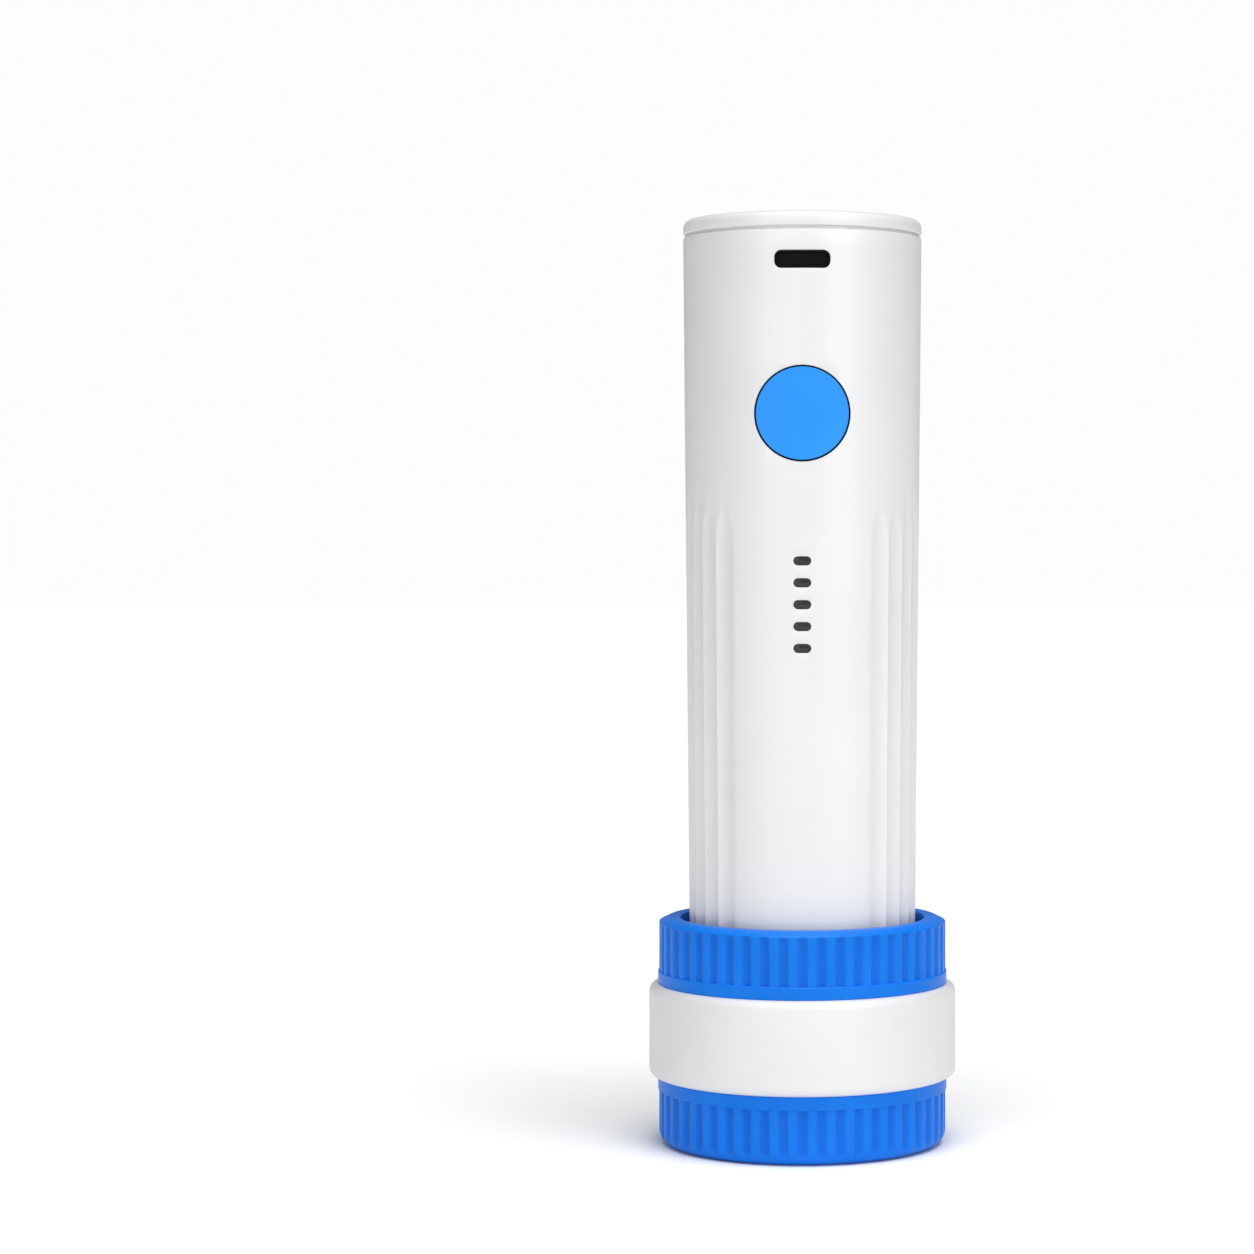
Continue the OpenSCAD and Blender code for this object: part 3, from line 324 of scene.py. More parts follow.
finishes["smokedLens"] = lensFinish()
# painted shadow: the navy that the button's side takes where it faces the gap
paintedGapShadow = (0.002, 0.01, 0.05, 1)
# painted shade: this colour is multiplied into the blue rings' colour inside their grooves
paintedGrooveShade = (0.5, 0.76, 0.88, 1)


def paintGapShadow(made, centreZ, radius, depth):
    # painted shadow: the button's side is darkened to navy where it faces the gap, as shade in the gap, by its
    # distance from the button's axis
    tree = made.node_tree
    shader = tree.nodes["Principled BSDF"]
    base = shader.inputs["Base Color"].links[0].from_socket
    mapping = tree.nodes.new("ShaderNodeMapping")
    mapping.inputs["Location"].default_value = (0, 0, -centreZ * mm)
    mapping.inputs["Scale"].default_value = (1, 0, 1)
    tree.links.new(tree.nodes.new("ShaderNodeTexCoord").outputs["Object"], mapping.inputs["Vector"])
    length = tree.nodes.new("ShaderNodeVectorMath")
    length.operation = "LENGTH"
    tree.links.new(mapping.outputs["Vector"], length.inputs[0])
    ranged = tree.nodes.new("ShaderNodeMapRange")
    ranged.inputs["From Min"].default_value = (radius - depth) * mm
    ranged.inputs["From Max"].default_value = radius * mm
    tree.links.new(length.outputs["Value"], ranged.inputs["Value"])
    darker = tree.nodes.new("ShaderNodeMix")
    darker.data_type = "RGBA"
    darker.inputs[7].default_value = paintedGapShadow
    tree.links.new(ranged.outputs["Result"], darker.inputs["Factor"])
    tree.links.new(base, darker.inputs[6])
    tree.links.new(darker.outputs[2], shader.inputs["Base Color"])


def paintShadeInGrooves(made, radius, depth, top, low, topFade=0.6, lowFade=1.5):
    # painted shade: the blue rings are a little darker inside their grooves, where shade falls, fading out towards
    # two heights
    tree = made.node_tree
    shader = tree.nodes["Principled BSDF"]
    base = shader.inputs["Base Color"].links[0].from_socket
    place = tree.nodes.new("ShaderNodeTexCoord").outputs["Object"]
    flat = tree.nodes.new("ShaderNodeVectorMath")
    flat.operation = "MULTIPLY"
    flat.inputs[1].default_value = (1, 1, 0)
    tree.links.new(place, flat.inputs[0])
    length = tree.nodes.new("ShaderNodeVectorMath")
    length.operation = "LENGTH"
    tree.links.new(flat.outputs["Vector"], length.inputs[0])
    apart = tree.nodes.new("ShaderNodeSeparateXYZ")
    tree.links.new(place, apart.inputs["Vector"])
    shares = []
    for source, start, end in ((length.outputs["Value"], radius, radius - depth),
                               (apart.outputs["Z"], top, top - topFade),
                               (apart.outputs["Z"], low, low + lowFade)):
        ranged = tree.nodes.new("ShaderNodeMapRange")
        ranged.interpolation_type = "SMOOTHSTEP"
        ranged.inputs["From Min"].default_value = start * mm
        ranged.inputs["From Max"].default_value = end * mm
        tree.links.new(source, ranged.inputs["Value"])
        shares.append(ranged.outputs["Result"])
    share = shares[0]
    for other in shares[1:]:
        product = tree.nodes.new("ShaderNodeMath")
        product.operation = "MULTIPLY"
        tree.links.new(share, product.inputs[0])
        tree.links.new(other, product.inputs[1])
        share = product.outputs["Value"]
    darker = tree.nodes.new("ShaderNodeMix")
    darker.data_type = "RGBA"
    darker.blend_type = "MULTIPLY"
    tree.links.new(share, darker.inputs["Factor"])
    tree.links.new(base, darker.inputs[6])
    darker.inputs[7].default_value = paintedGrooveShade
    tree.links.new(darker.outputs[2], shader.inputs["Base Color"])


# painted shade in the grooves of both blue rings, the cup's collar and the foil cutter
paintShadeInGrooves(finishes["gripBlue"], radius=29.93, depth=0.42, top=46.3, low=1.5)
# painted shadow on the button's side where it faces the gap
paintGapShadow(finishes["buttonBlue"], centreZ=151.8, radius=9.5, depth=0.12)

slotFinish = {
    "body_white": "pearlWhite", "band_white": "bandWhite", "grip_blue": "gripBlue", "button_blue": "buttonBlue",
    "dark_plastic": "darkPlastic", "grey_plastic": "greyPlastic", "light_plastic": "lightPlastic",
    "lens": "smokedLens",
    "rubber": "softRubber", "steel": "brightSteel", "zinc": "zincPlate", "cast_metal": "castMetal",
    "sintered": "sinteredSteel",
    "bronze": "oiledBronze", "gear_plastic": "gearPlastic", "magnet": "magnetFerrite", "board_green": "boardGreen",
    "cell_wrap": "cellWrap", "led_body": "ledResin",
}
for part in frame["record"]["subparts"]:
    node = nodes.get(part["node"])
    if node:
        node.data.materials.clear()
        node.data.materials.append(finishes[slotFinish[part["material_slot"]]])
print("finishes made")

slots = {part["node"]: part["material_slot"] for part in frame["record"]["subparts"]}


def standFor(piece, node, smooth=30):
    # the piece takes the place, the body, the slot and the finish of one node of the part
    slot = slots[node]
    finishPiece(piece, nodes[node]["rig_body"], finishes[slotFinish[slot]], [node], smooth)


# the opener's housing

body = {"footZ": 14.8, "topZ": 189.3, "footR": 23.4, "topR": 25.0, "wall": 1.8,
        "fluteStart": 35.5, "flutePitch": 10.9, "flutes": 10, "fluteDepth": 0.45, "fluteSteps": 12,
        "fluteTop": 125.0, "fluteFade": 7.0, "fadeRows": 8, "rimRound": 0.35,
        "rowsBelow": (50, 86, 101.9, 106.3, 110.8, 115.2, 119.6),
        "rowsAbove": (141.2, 151.8, 162.4, 170, 180.4, 185.7),
        "ledgeTop": 89, "ledgeLow": 86.5, "ledgeIn": 2.4, "ledgeSlope": 0.2}


def bodyR(z):
    return body["footR"] + (body["topR"] - body["footR"]) * (z - body["footZ"]) / (body["topZ"] - body["footZ"])


def makeHousing():
    foot, top, wall = body["footZ"], body["topZ"], body["wall"]
    rim, fadeSteps = body["rimRound"], body["fadeRows"]
    fadeRows = [body["fluteTop"] + body["fluteFade"] * k / fadeSteps for k in range(fadeSteps + 1)]
    rows = [foot + rim, *body["rowsBelow"], *fadeRows, *body["rowsAbove"], top - rim]
    outline = [(bodyR(foot) - wall, foot + 0.1), (bodyR(foot) - rim, foot), (bodyR(foot) - 0.1, foot + 0.1)]
    outline += [(bodyR(z), z) for z in rows]
    outline += [(body["topR"] - 0.1, top - 0.1), (body["topR"] - rim, top), (body["topR"] - wall, top)]
    # the ledge inside, that the gearbox deck lies on
    high, low, inset, slope = body["ledgeTop"], body["ledgeLow"], body["ledgeIn"], body["ledgeSlope"]
    outline += [(bodyR(high + slope) - wall, high + slope), (bodyR(high) - wall - inset, high),
                (bodyR(low) - wall - inset, low), (bodyR(low - slope) - wall, low - slope)]
    plain = 2 * body["fluteStart"]
    span = body["flutes"] * body["flutePitch"]
    front = turned("housing_front", outline, ((plain, 36),), start=-90 - body["fluteStart"])
    back = turned("housing_back", outline, ((360 - plain - 2 * span, 36),), start=-90 + body["fluteStart"] + span)
    flute = turned("housing_flute", outline, ((body["flutePitch"], body["fluteSteps"]),))

    def hollowed(r, angle, z):
        u = 2 * angle / body["flutePitch"] - 1
        fade = min(1, max(0, (z - body["fluteTop"]) / body["fluteFade"]))
        width = math.sqrt(max(0, 1 - fade * fade))   # the hollow closes in a round end
        if r < bodyR(z) - 0.5 or width < 0.02 or abs(u) >= width - 0.001:
            return None
        return r - body["fluteDepth"] * width * (1 - (u / width) ** 2)
    pressIn(flute, hollowed)
    right = [-90 + body["fluteStart"] + body["flutePitch"] * k for k in range(body["flutes"])]
    left = [-90 - body["fluteStart"] - body["flutePitch"] * (k + 1) for k in range(body["flutes"])]
    shell = joined([front, back] + repeated(flute, right + left), "opener_housing")
    closeUp()
    return shell


housing = makeHousing()
print("housing turned")

cuts = {"buttonZ": 151.8, "buttonR": 9.8, "lightZ": 104.1, "lightPitch": 4.44, "lights": 5, "lightW": 3.6,
        "lightH": 1.84, "slotZ": 183.06, "slotW": 11.4, "slotH": 3.7, "slotRound": 1.45, "near": -30, "far": -14}


def frontPlug(name, width, height, radius, z, near, far, steps=8):
    # a rounded plug along Y: a flat plate with its corners bevelled, then drawn out backwards
    bpy.ops.object.select_all(action="DESELECT")
    bpy.ops.mesh.primitive_plane_add(size=1, location=(0, near * mm, z * mm), rotation=(math.radians(90), 0, 0))
    plug = bpy.context.object
    plug.name = name
    plug.scale = (width * mm, height * mm, 1)
    bpy.ops.object.transform_apply(location=True, rotation=True, scale=True)
    bpy.ops.object.mode_set(mode="EDIT")
    bpy.ops.mesh.select_all(action="SELECT")
    bpy.ops.mesh.bevel(offset=radius * mm, segments=steps, affect="VERTICES", clamp_overlap=False)
    bpy.ops.mesh.select_all(action="SELECT")
    bpy.ops.mesh.remove_doubles(threshold=0.001 * mm)
    bpy.ops.mesh.extrude_region_move(TRANSFORM_OT_translate={"value": (0, (far - near) * mm, 0)})
    bpy.ops.mesh.select_all(action="SELECT")
    bpy.ops.mesh.normals_make_consistent(inside=False)
    bpy.ops.object.mode_set(mode="OBJECT")
    return plug


def roundPlug(name, radius, z, near, far, sides=96):
    bpy.ops.object.select_all(action="DESELECT")
    bpy.ops.mesh.primitive_circle_add(vertices=sides, radius=radius * mm, fill_type="NGON",
                                      location=(0, near * mm, z * mm), rotation=(math.radians(90), 0, 0))
    plug = bpy.context.object
    plug.name = name
    bpy.ops.object.transform_apply(location=True, rotation=True, scale=True)
    bpy.ops.object.mode_set(mode="EDIT")
    bpy.ops.mesh.select_all(action="SELECT")
    bpy.ops.mesh.extrude_region_move(TRANSFORM_OT_translate={"value": (0, (far - near) * mm, 0)})
    bpy.ops.mesh.select_all(action="SELECT")
    bpy.ops.mesh.normals_make_consistent(inside=False)
    bpy.ops.object.mode_set(mode="OBJECT")
    return plug


cutWith(housing, roundPlug("buttonHole", cuts["buttonR"], cuts["buttonZ"], cuts["near"], cuts["far"]))
cutWith(housing, frontPlug("slotHole", cuts["slotW"], cuts["slotH"], cuts["slotRound"], cuts["slotZ"],
                           cuts["near"], cuts["far"]))
for k in range(cuts["lights"]):
    cutWith(housing, frontPlug("lightHole", cuts["lightW"], cuts["lightH"], cuts["lightH"] / 2,
                               cuts["lightZ"] + k * cuts["lightPitch"], cuts["near"], cuts["far"]))


def softenCuts(piece, offset, segments, pick):
    # rounds the sharp outer rims of the openings
    selectWhere(piece, lambda p: False)
    bpy.ops.mesh.select_mode(type="EDGE")
    bpy.ops.object.mode_set(mode="OBJECT")
    points = piece.data.vertices
    sharp = {}
    for face in piece.data.polygons:
        for key in face.edge_keys:
            sharp.setdefault(key, []).append(face.normal)
    for edge in piece.data.edges:
        a, b = (points[i].co for i in edge.vertices)
        normals = sharp.get(edge.key, [])
        if len(normals) == 2 and normals[0].angle(normals[1], 0) > math.radians(40) and pick(a) and pick(b):
            edge.select = True
    bpy.ops.object.mode_set(mode="EDIT")
    bpy.ops.mesh.bevel(offset=offset * mm, segments=segments, clamp_overlap=False)
    bpy.ops.mesh.select_mode(type="VERT")
    bpy.ops.object.mode_set(mode="OBJECT")


def onFront(low, high):
    def pick(p):
        r = math.hypot(p.x, p.y) / mm
        z = p.z / mm
        return low < z < high and p.y < 0 and abs(p.x) < 11 * mm and r > bodyR(z) - 0.3
    return pick


softenCuts(housing, 0.12, 2, onFront(100, 188))
finishPiece(housing, "opener", finishes["pearlWhite"], ["housing"], 24)

# cap, seam and the disc let into its top

cap = {"plateR": 25.0, "bottomZ": 189.9, "topZ": 193.0, "topRound": 1.6, "seamR": 24.2,
       "sleeveR": 23.0, "sleeveInR": 21.6, "sleeveZ": 186.3, "discR": 23.0, "discT": 0.8}


def makeCap():
    inner, outer, seamZ = cap["sleeveInR"], cap["sleeveR"], body["topZ"]
    outline = [(0, cap["bottomZ"] - 0.3), (inner, cap["bottomZ"] - 0.3), (inner, cap["sleeveZ"]),
               (outer, cap["sleeveZ"]), (outer, seamZ), (cap["seamR"], seamZ), (cap["seamR"], cap["bottomZ"])]
    outline += roundCorner(cap["plateR"] - 0.3, cap["bottomZ"] + 0.3, 0.3, -90, 0, 3)
    outline += roundCorner(cap["plateR"] - cap["topRound"], cap["topZ"] - cap["topRound"], cap["topRound"],
                           0, 90, 8)
    outline += [(cap["discR"] + 0.25, cap["topZ"]), (cap["discR"] + 0.1, cap["topZ"] - 0.15),
                (cap["discR"] + 0.1, cap["topZ"] - cap["discT"]), (0, cap["topZ"] - cap["discT"])]
    piece = turned("opener_cap", outline, ((360, 160),), closed=False)
    finishPiece(piece, "opener", finishes["pearlWhite"], ["top_cap"], 35)


def makeDisc():
    top = cap["topZ"] - 0.1
    outline = [(0, top - 0.7), (cap["discR"], top - 0.7), (cap["discR"], top - 0.2),
               (cap["discR"] - 0.06, top - 0.06), (cap["discR"] - 0.2, top),
               (cap["discR"] - 1.6, top), (cap["discR"] - 1.7, top - 0.08), (cap["discR"] - 1.9, top - 0.08),
               (cap["discR"] - 2.0, top), (0, top)]
    piece = turned("cap_inlay", outline, ((360, 160),), closed=False)
    finishPiece(piece, "opener", finishes["glossBlack"], ["cap_disc"], 35)


makeCap()
makeDisc()

# button

button = {"r": 9.5, "proud": 0.2, "dish": 0.3, "edge": 0.25, "rings": (0.12, 0.12, 0.16, 0.7) + (1.05,) * 7,
          "sideDeep": 1.9, "lipR": 10.5, "lipDeep": 0.7, "backShare": 0.86, "backUp": 1.8, "centreY": -0.022}


def makeButton():
    z = cuts["buttonZ"]
    bpy.ops.object.select_all(action="DESELECT")
    bpy.ops.mesh.primitive_circle_add(vertices=96, radius=button["r"] * mm, fill_type="NGON",
                                      location=(0, -0.03, z * mm), rotation=(math.radians(90), 0, 0))
    piece = bpy.context.object
    piece.name = "press_button"
    bpy.ops.object.transform_apply(location=True, rotation=True, scale=True)
    bpy.ops.object.mode_set(mode="EDIT")
    bpy.ops.mesh.select_all(action="SELECT")
    for step in button["rings"]:
        bpy.ops.mesh.inset(thickness=step * mm, use_even_offset=True)
    bpy.ops.mesh.merge(type="CENTER")
    bpy.ops.object.mode_set(mode="OBJECT")
    # each ring takes the housing's curve, a little proud, with a shallow dish and a rounded edge
    for point in piece.data.vertices:
        out = math.hypot(point.co.x, point.co.z - z * mm) / mm
        level = bodyR(point.co.z / mm) + button["proud"]
        surface = math.sqrt(level ** 2 - (point.co.x / mm) ** 2)
        inside = button["r"] - out
        if inside < button["edge"]:
            surface -= button["edge"] * (1 - math.sqrt(max(0, 1 - (1 - inside / button["edge"]) ** 2)))
        else:
            surface -= button["dish"] * (1 - (out / button["r"]) ** 2)
        point.co.y = -surface * mm
    selectWhere(piece, lambda p: math.hypot(p.x, p.z - z * mm) > (button["r"] - 0.01) * mm)
    bpy.ops.mesh.extrude_edges_move(TRANSFORM_OT_translate={"value": (0, button["sideDeep"] * mm, 0)})
    centre = (0, button["centreY"], z * mm)
    grow, back = button["lipR"] / button["r"], button["backShare"]
    bpy.ops.mesh.extrude_edges_move()
    bpy.ops.transform.resize(value=(grow, 1, grow), center_override=centre)
    bpy.ops.mesh.extrude_edges_move(TRANSFORM_OT_translate={"value": (0, button["lipDeep"] * mm, 0)})
    bpy.ops.mesh.extrude_edges_move()
    bpy.ops.transform.resize(value=(back, 1, back), center_override=centre)
    bpy.ops.mesh.extrude_edges_move(TRANSFORM_OT_translate={"value": (0, -button["backUp"] * mm, 0)})
    bpy.ops.mesh.edge_face_add()
    bpy.ops.mesh.select_all(action="SELECT")
    bpy.ops.mesh.normals_make_consistent(inside=False)
    bpy.ops.object.mode_set(mode="OBJECT")
    finishPiece(piece, "push_button", finishes["buttonBlue"], ["button"], 40)


makeButton()

# charging slot, its frame closed by a panel a little way in
port = {"setBack": 0.75, "gap": 0.1, "deep": 1.6, "wall": 0.35, "slope": 0.12, "panelIn": 0.5}


def makePort():
    z = cuts["slotZ"]
    face = math.sqrt(bodyR(z) ** 2 - 2) - port["setBack"]
    frameWidth, frameHeight = cuts["slotW"] - 2 * port["gap"], cuts["slotH"] - 2 * port["gap"]
    piece = frontPlug("port_frame", frameWidth, frameHeight, cuts["slotRound"] - port["gap"], z,
                      -face, -face + port["deep"])
    selectWhere(piece, lambda p: p.y < (-face + 0.01) * mm)
    bpy.ops.mesh.inset(thickness=port["wall"] * mm)
    bpy.ops.mesh.inset(thickness=port["slope"] * mm)
    bpy.ops.transform.translate(value=(0, port["panelIn"] * mm, 0))
    bpy.ops.object.mode_set(mode="OBJECT")
    finishPiece(piece, "opener", finishes["portBlack"], ["port_bezel"], 40)


makePort()

# indicator windows
window = {"setBack": 0.15, "gap": 0.1, "deep": 1.8, "round": 0.18}


def makeLenses():
    pieces = []
    for k in range(cuts["lights"]):
        z = cuts["lightZ"] + k * cuts["lightPitch"]
        r = bodyR(z) - window["setBack"]
        lens = frontPlug("lens", cuts["lightW"] - 2 * window["gap"], cuts["lightH"] - 2 * window["gap"],
                         cuts["lightH"] / 2 - window["gap"], z, -r, -r + window["deep"])
        selectWhere(lens, lambda p: p.y < (-r + 0.01) * mm)
        bpy.ops.mesh.bevel(offset=window["round"] * mm, segments=3, clamp_overlap=True)
        bpy.ops.object.mode_set(mode="OBJECT")
        pieces.append(lens)
    piece = joined(pieces, "light_windows")
    finishPiece(piece, "opener", finishes["smokedLens"], ["indicator_lenses"], 40)


makeLenses()

# stand: blue cup with its fluted collar, and the white band

ring = {"flutes": 48, "depth": 0.5, "cutterR": 1.8, "softness": 0.05,
        "sweeps": ((1.2, 1), (0.36, 3), (0.62, 2), (3.14, 8), (0.62, 2), (0.36, 3), (1.2, 1))}
cup = {"footR": 28.0, "footZ": 11.7, "cupR": 28.5, "cupZ": 14.2, "bandTop": 33.5, "rimR": 30.24, "rimTop": 36.1,
       "collarR": 30.0, "top": 47.2, "bevel": 2.0, "bevelH": 1.0, "wellR": 25.5, "floorZ": 14.0, "archH": 0.75}


def grooveRadius(ringR, angle, open=1.0):
    # distance of the groove's wall from the axis, with soft edges, for a groove open to a share of its width
    pitch = 360 / ring["flutes"]
    off = ((angle + 90 + pitch / 2) % pitch) - pitch / 2
    along = math.radians(off) * ringR / open
    if abs(along) >= ring["cutterR"]:
        return None
    raw = math.sqrt(ring["cutterR"] ** 2 - along ** 2) - (ring["cutterR"] - ring["depth"])
    depth = 0.5 * (raw + math.hypot(raw, ring["softness"])) * open
    return ringR - depth if depth > 0.001 else None


def makeCup():
    outline = [(0, cup["footZ"]), (cup["footR"] - 0.2, cup["footZ"]), (cup["footR"], cup["footZ"] + 0.2),
               (cup["footR"], cup["cupZ"]),
               (cup["cupR"], cup["cupZ"]), (cup["cupR"], cup["bandTop"]), (cup["rimR"] - 0.15, cup["bandTop"]),
               (cup["rimR"], cup["bandTop"] + 0.15)]
    rimTop = cup["rimTop"]
    outline += [(cup["rimR"], rimTop - 0.12), (cup["rimR"] - 0.12, rimTop), (cup["collarR"], rimTop + 0.02),
                (cup["collarR"], rimTop + 0.12), (cup["collarR"], 41)]
    archTop = cup["top"] - cup["bevelH"]
    outline += [(cup["collarR"], archTop - cup["archH"] * (1 - k / 6)) for k in range(7)]
    outline += [(cup["collarR"] - 0.12, archTop + 0.16), (cup["collarR"] - cup["bevel"] + 0.25, cup["top"] - 0.07),
                (cup["collarR"] - cup["bevel"] - 0.1, cup["top"])]
    outline += [(cup["wellR"] + 0.4, cup["top"]), (cup["wellR"] + 0.1, cup["top"] - 0.1),
                (cup["wellR"], cup["top"] - 0.4), (cup["wellR"], cup["floorZ"])]
    outline += [(16.0, cup["floorZ"]), (15.8, cup["floorZ"] - 0.3), (0, cup["floorZ"] - 0.3)]
    pitch = 360 / ring["flutes"]
    sector = turned("dock_cup", outline, ring["sweeps"], closed=False, start=-90 - pitch / 2)
    low, high = cup["rimTop"] + 0.06, archTop - cup["archH"]

    def grooved(r, angle, z):
        if r < cup["collarR"] - 0.6 or z < low or z > archTop + 0.3:
            return None
        share = 1.0
        if z > high:
            share = math.sqrt(max(0, 1 - ((z - high) / (cup["archH"] + 0.02)) ** 2))
        if share < 0.1:
            return None
        wall = grooveRadius(cup["collarR"], angle, share)
        return wall if wall and wall < r - 0.001 else None
    pressIn(sector, grooved)
    piece = joined(repeated(sector, [pitch * k for k in range(ring["flutes"])]), "dock_cup")
    closeUp()
    finishPiece(piece, "stand", finishes["gripBlue"], ["docking_cup"], 32)


makeCup()

band = {"r": 32.1, "innerR": 28.6, "low": 14.2, "top": 33.5, "round": 1.8}


def makeBand():
    edge = band["r"] - band["round"]
    outline = [(band["innerR"], band["low"])]
    outline += roundCorner(edge, band["low"] + band["round"], band["round"], -90, 0, 10)
    outline += roundCorner(edge, band["top"] - band["round"], band["round"], 0, 90, 10)
    outline += [(band["innerR"], band["top"])]
    piece = turned("stand_sleeve", outline, ((360, 192),))
    finishPiece(piece, "stand", finishes["bandWhite"], ["stand_band"], 35)


makeBand()

# foil cutter

cutter = {"r": 30.0, "mouthR": 15.6, "rimR": 30.24, "rimZ": 11.35, "top": 14.2, "footRound": 3.0, "coverZ": 9.7,
          "seatR": 28.1, "wheels": 4, "firstWheel": 45, "wheelAt": 20.0, "wheelR": 5.8, "wheelZ": 4.6,
          "wheelT": 0.7, "pinR": 1.0,
          "pocketR": 6.4, "pocketFloor": 3.0}


def around(count, first, radius):
    # points spread evenly on a circle, the first one at an angle from the +X side
    angles = [math.radians(first + 360 * k / count) for k in range(count)]
    return [(radius * math.cos(a), radius * math.sin(a)) for a in angles]


def makeCutterRing():
    outline = [(cutter["mouthR"], 1.0), (cutter["mouthR"] + 0.3, 0.3), (cutter["mouthR"] + 1.0, 0)]
    outline += roundCorner(cutter["r"] - cutter["footRound"], cutter["footRound"], cutter["footRound"], -90, 0, 12)
    rim = cutter["rimZ"]
    outline += [(cutter["r"], 6), (cutter["r"], rim - 0.12), (cutter["r"], rim - 0.02),
                (cutter["rimR"] - 0.12, rim), (cutter["rimR"], rim + 0.12),
                (cutter["rimR"], cutter["top"] - 0.2), (cutter["rimR"] - 0.2, cutter["top"]),
                (cutter["seatR"], cutter["top"]),
                (cutter["seatR"], cutter["coverZ"]), (cutter["mouthR"], cutter["coverZ"])]
    pitch = 360 / ring["flutes"]
    sector = turned("cutter_base", outline, ring["sweeps"], start=-90 - pitch / 2)

    def grooved(r, angle, z):
        if z > rim - 0.05 or r < cutter["r"] - 1.2:
            return None
        wall = grooveRadius(cutter["r"], angle)
        return wall if wall and wall < r - 0.001 else None
    pressIn(sector, grooved)
    piece = joined(repeated(sector, [pitch * k for k in range(ring["flutes"])]), "cutter_base")
    closeUp()
    for x, y in around(cutter["wheels"], cutter["firstWheel"], cutter["wheelAt"]):
        bpy.ops.object.select_all(action="DESELECT")
        bpy.ops.mesh.primitive_cylinder_add(vertices=64, radius=cutter["pocketR"] * mm, depth=0.02,
                                            location=(x * mm, y * mm, cutter["pocketFloor"] * mm + 0.01))
        pocket = bpy.context.object
        bpy.ops.object.transform_apply(location=True)
        cutWith(piece, pocket)
    finishPiece(piece, "foil_cutter", finishes["gripBlue"], ["cutter_ring"], 32)


makeCutterRing()


def makeWheels():
    z, half, r, pin = cutter["wheelZ"], cutter["wheelT"] / 2, cutter["wheelR"], cutter["pinR"] + 0.05
    outline = [(pin, z - half), (r - 2.0, z - half), (r - 1.9, z - half + 0.06), (r - 1.2, z - half + 0.06),
               (r - 1.1, z - half + 0.1), (r, z - 0.03), (r, z + 0.03),
               (r - 1.1, z + half - 0.1), (r - 1.2, z + half - 0.06), (r - 1.9, z + half - 0.06),
               (r - 2.0, z + half), (pin, z + half)]
    model = turned("wheel_blade", outline, ((360, 96),))
    last = cutter["wheels"] - 1
    for k, (x, y) in enumerate(around(cutter["wheels"], cutter["firstWheel"], cutter["wheelAt"])):
        wheel = model if k == last else model.copy()
        if k < last:
            wheel.data = model.data.copy()
            bpy.context.collection.objects.link(wheel)
        wheel.data.transform(Matrix.Translation((x * mm, y * mm, 0)))
        wheel.name = f"wheel_blade_{k + 1}"
        finishPiece(wheel, f"wheel_{k + 1}", finishes["brightSteel"], [f"cutting_wheel_{k + 1}"], 20)


makeWheels()

# what shows from below and when the stand is lifted: mouth, guide, bumper and pad
mouth = {"boreR": 16.0, "bevel": 1.0, "ringTop": 19.8, "gap": 1.9, "guideR": 16.3, "guideWall": 1.5,
         "lipStop": 40.0, "bumperT": 1.8,
         "chamberR": 13.5, "deckZ": 89.0, "ledgeZ": 86.5, "flangeT": 2.0, "ribs": 6, "ribT": 1.2, "ribR": 21.2,
         "footT": 2.0, "padR": (16.4, 22.4), "padZ": (14.0, 14.8)}


def makeMouth():
    low, top, bore = body["footZ"], mouth["ringTop"], mouth["boreR"]
    outer = bodyR(low) - mouth["gap"]
    outline = [(bore, top - 0.1), (bore, low + mouth["bevel"] + 0.15)]
    outline += roundCorner(bore + 1.15, low + 1.15, 1.15, 180, 270, 8)
    outline += [(outer - 1.6, low), (outer - 1.5, low + 0.25), (outer - 1.1, low + 0.25), (outer - 1.0, low),
                (outer - 0.2, low), (outer, low + 0.2),
                (outer, top - 0.2), (outer - 0.2, top), (bore + 0.1, top)]
    standFor(turned("mouth_bezel", outline, ((360, 128),)), "mouth_ring")


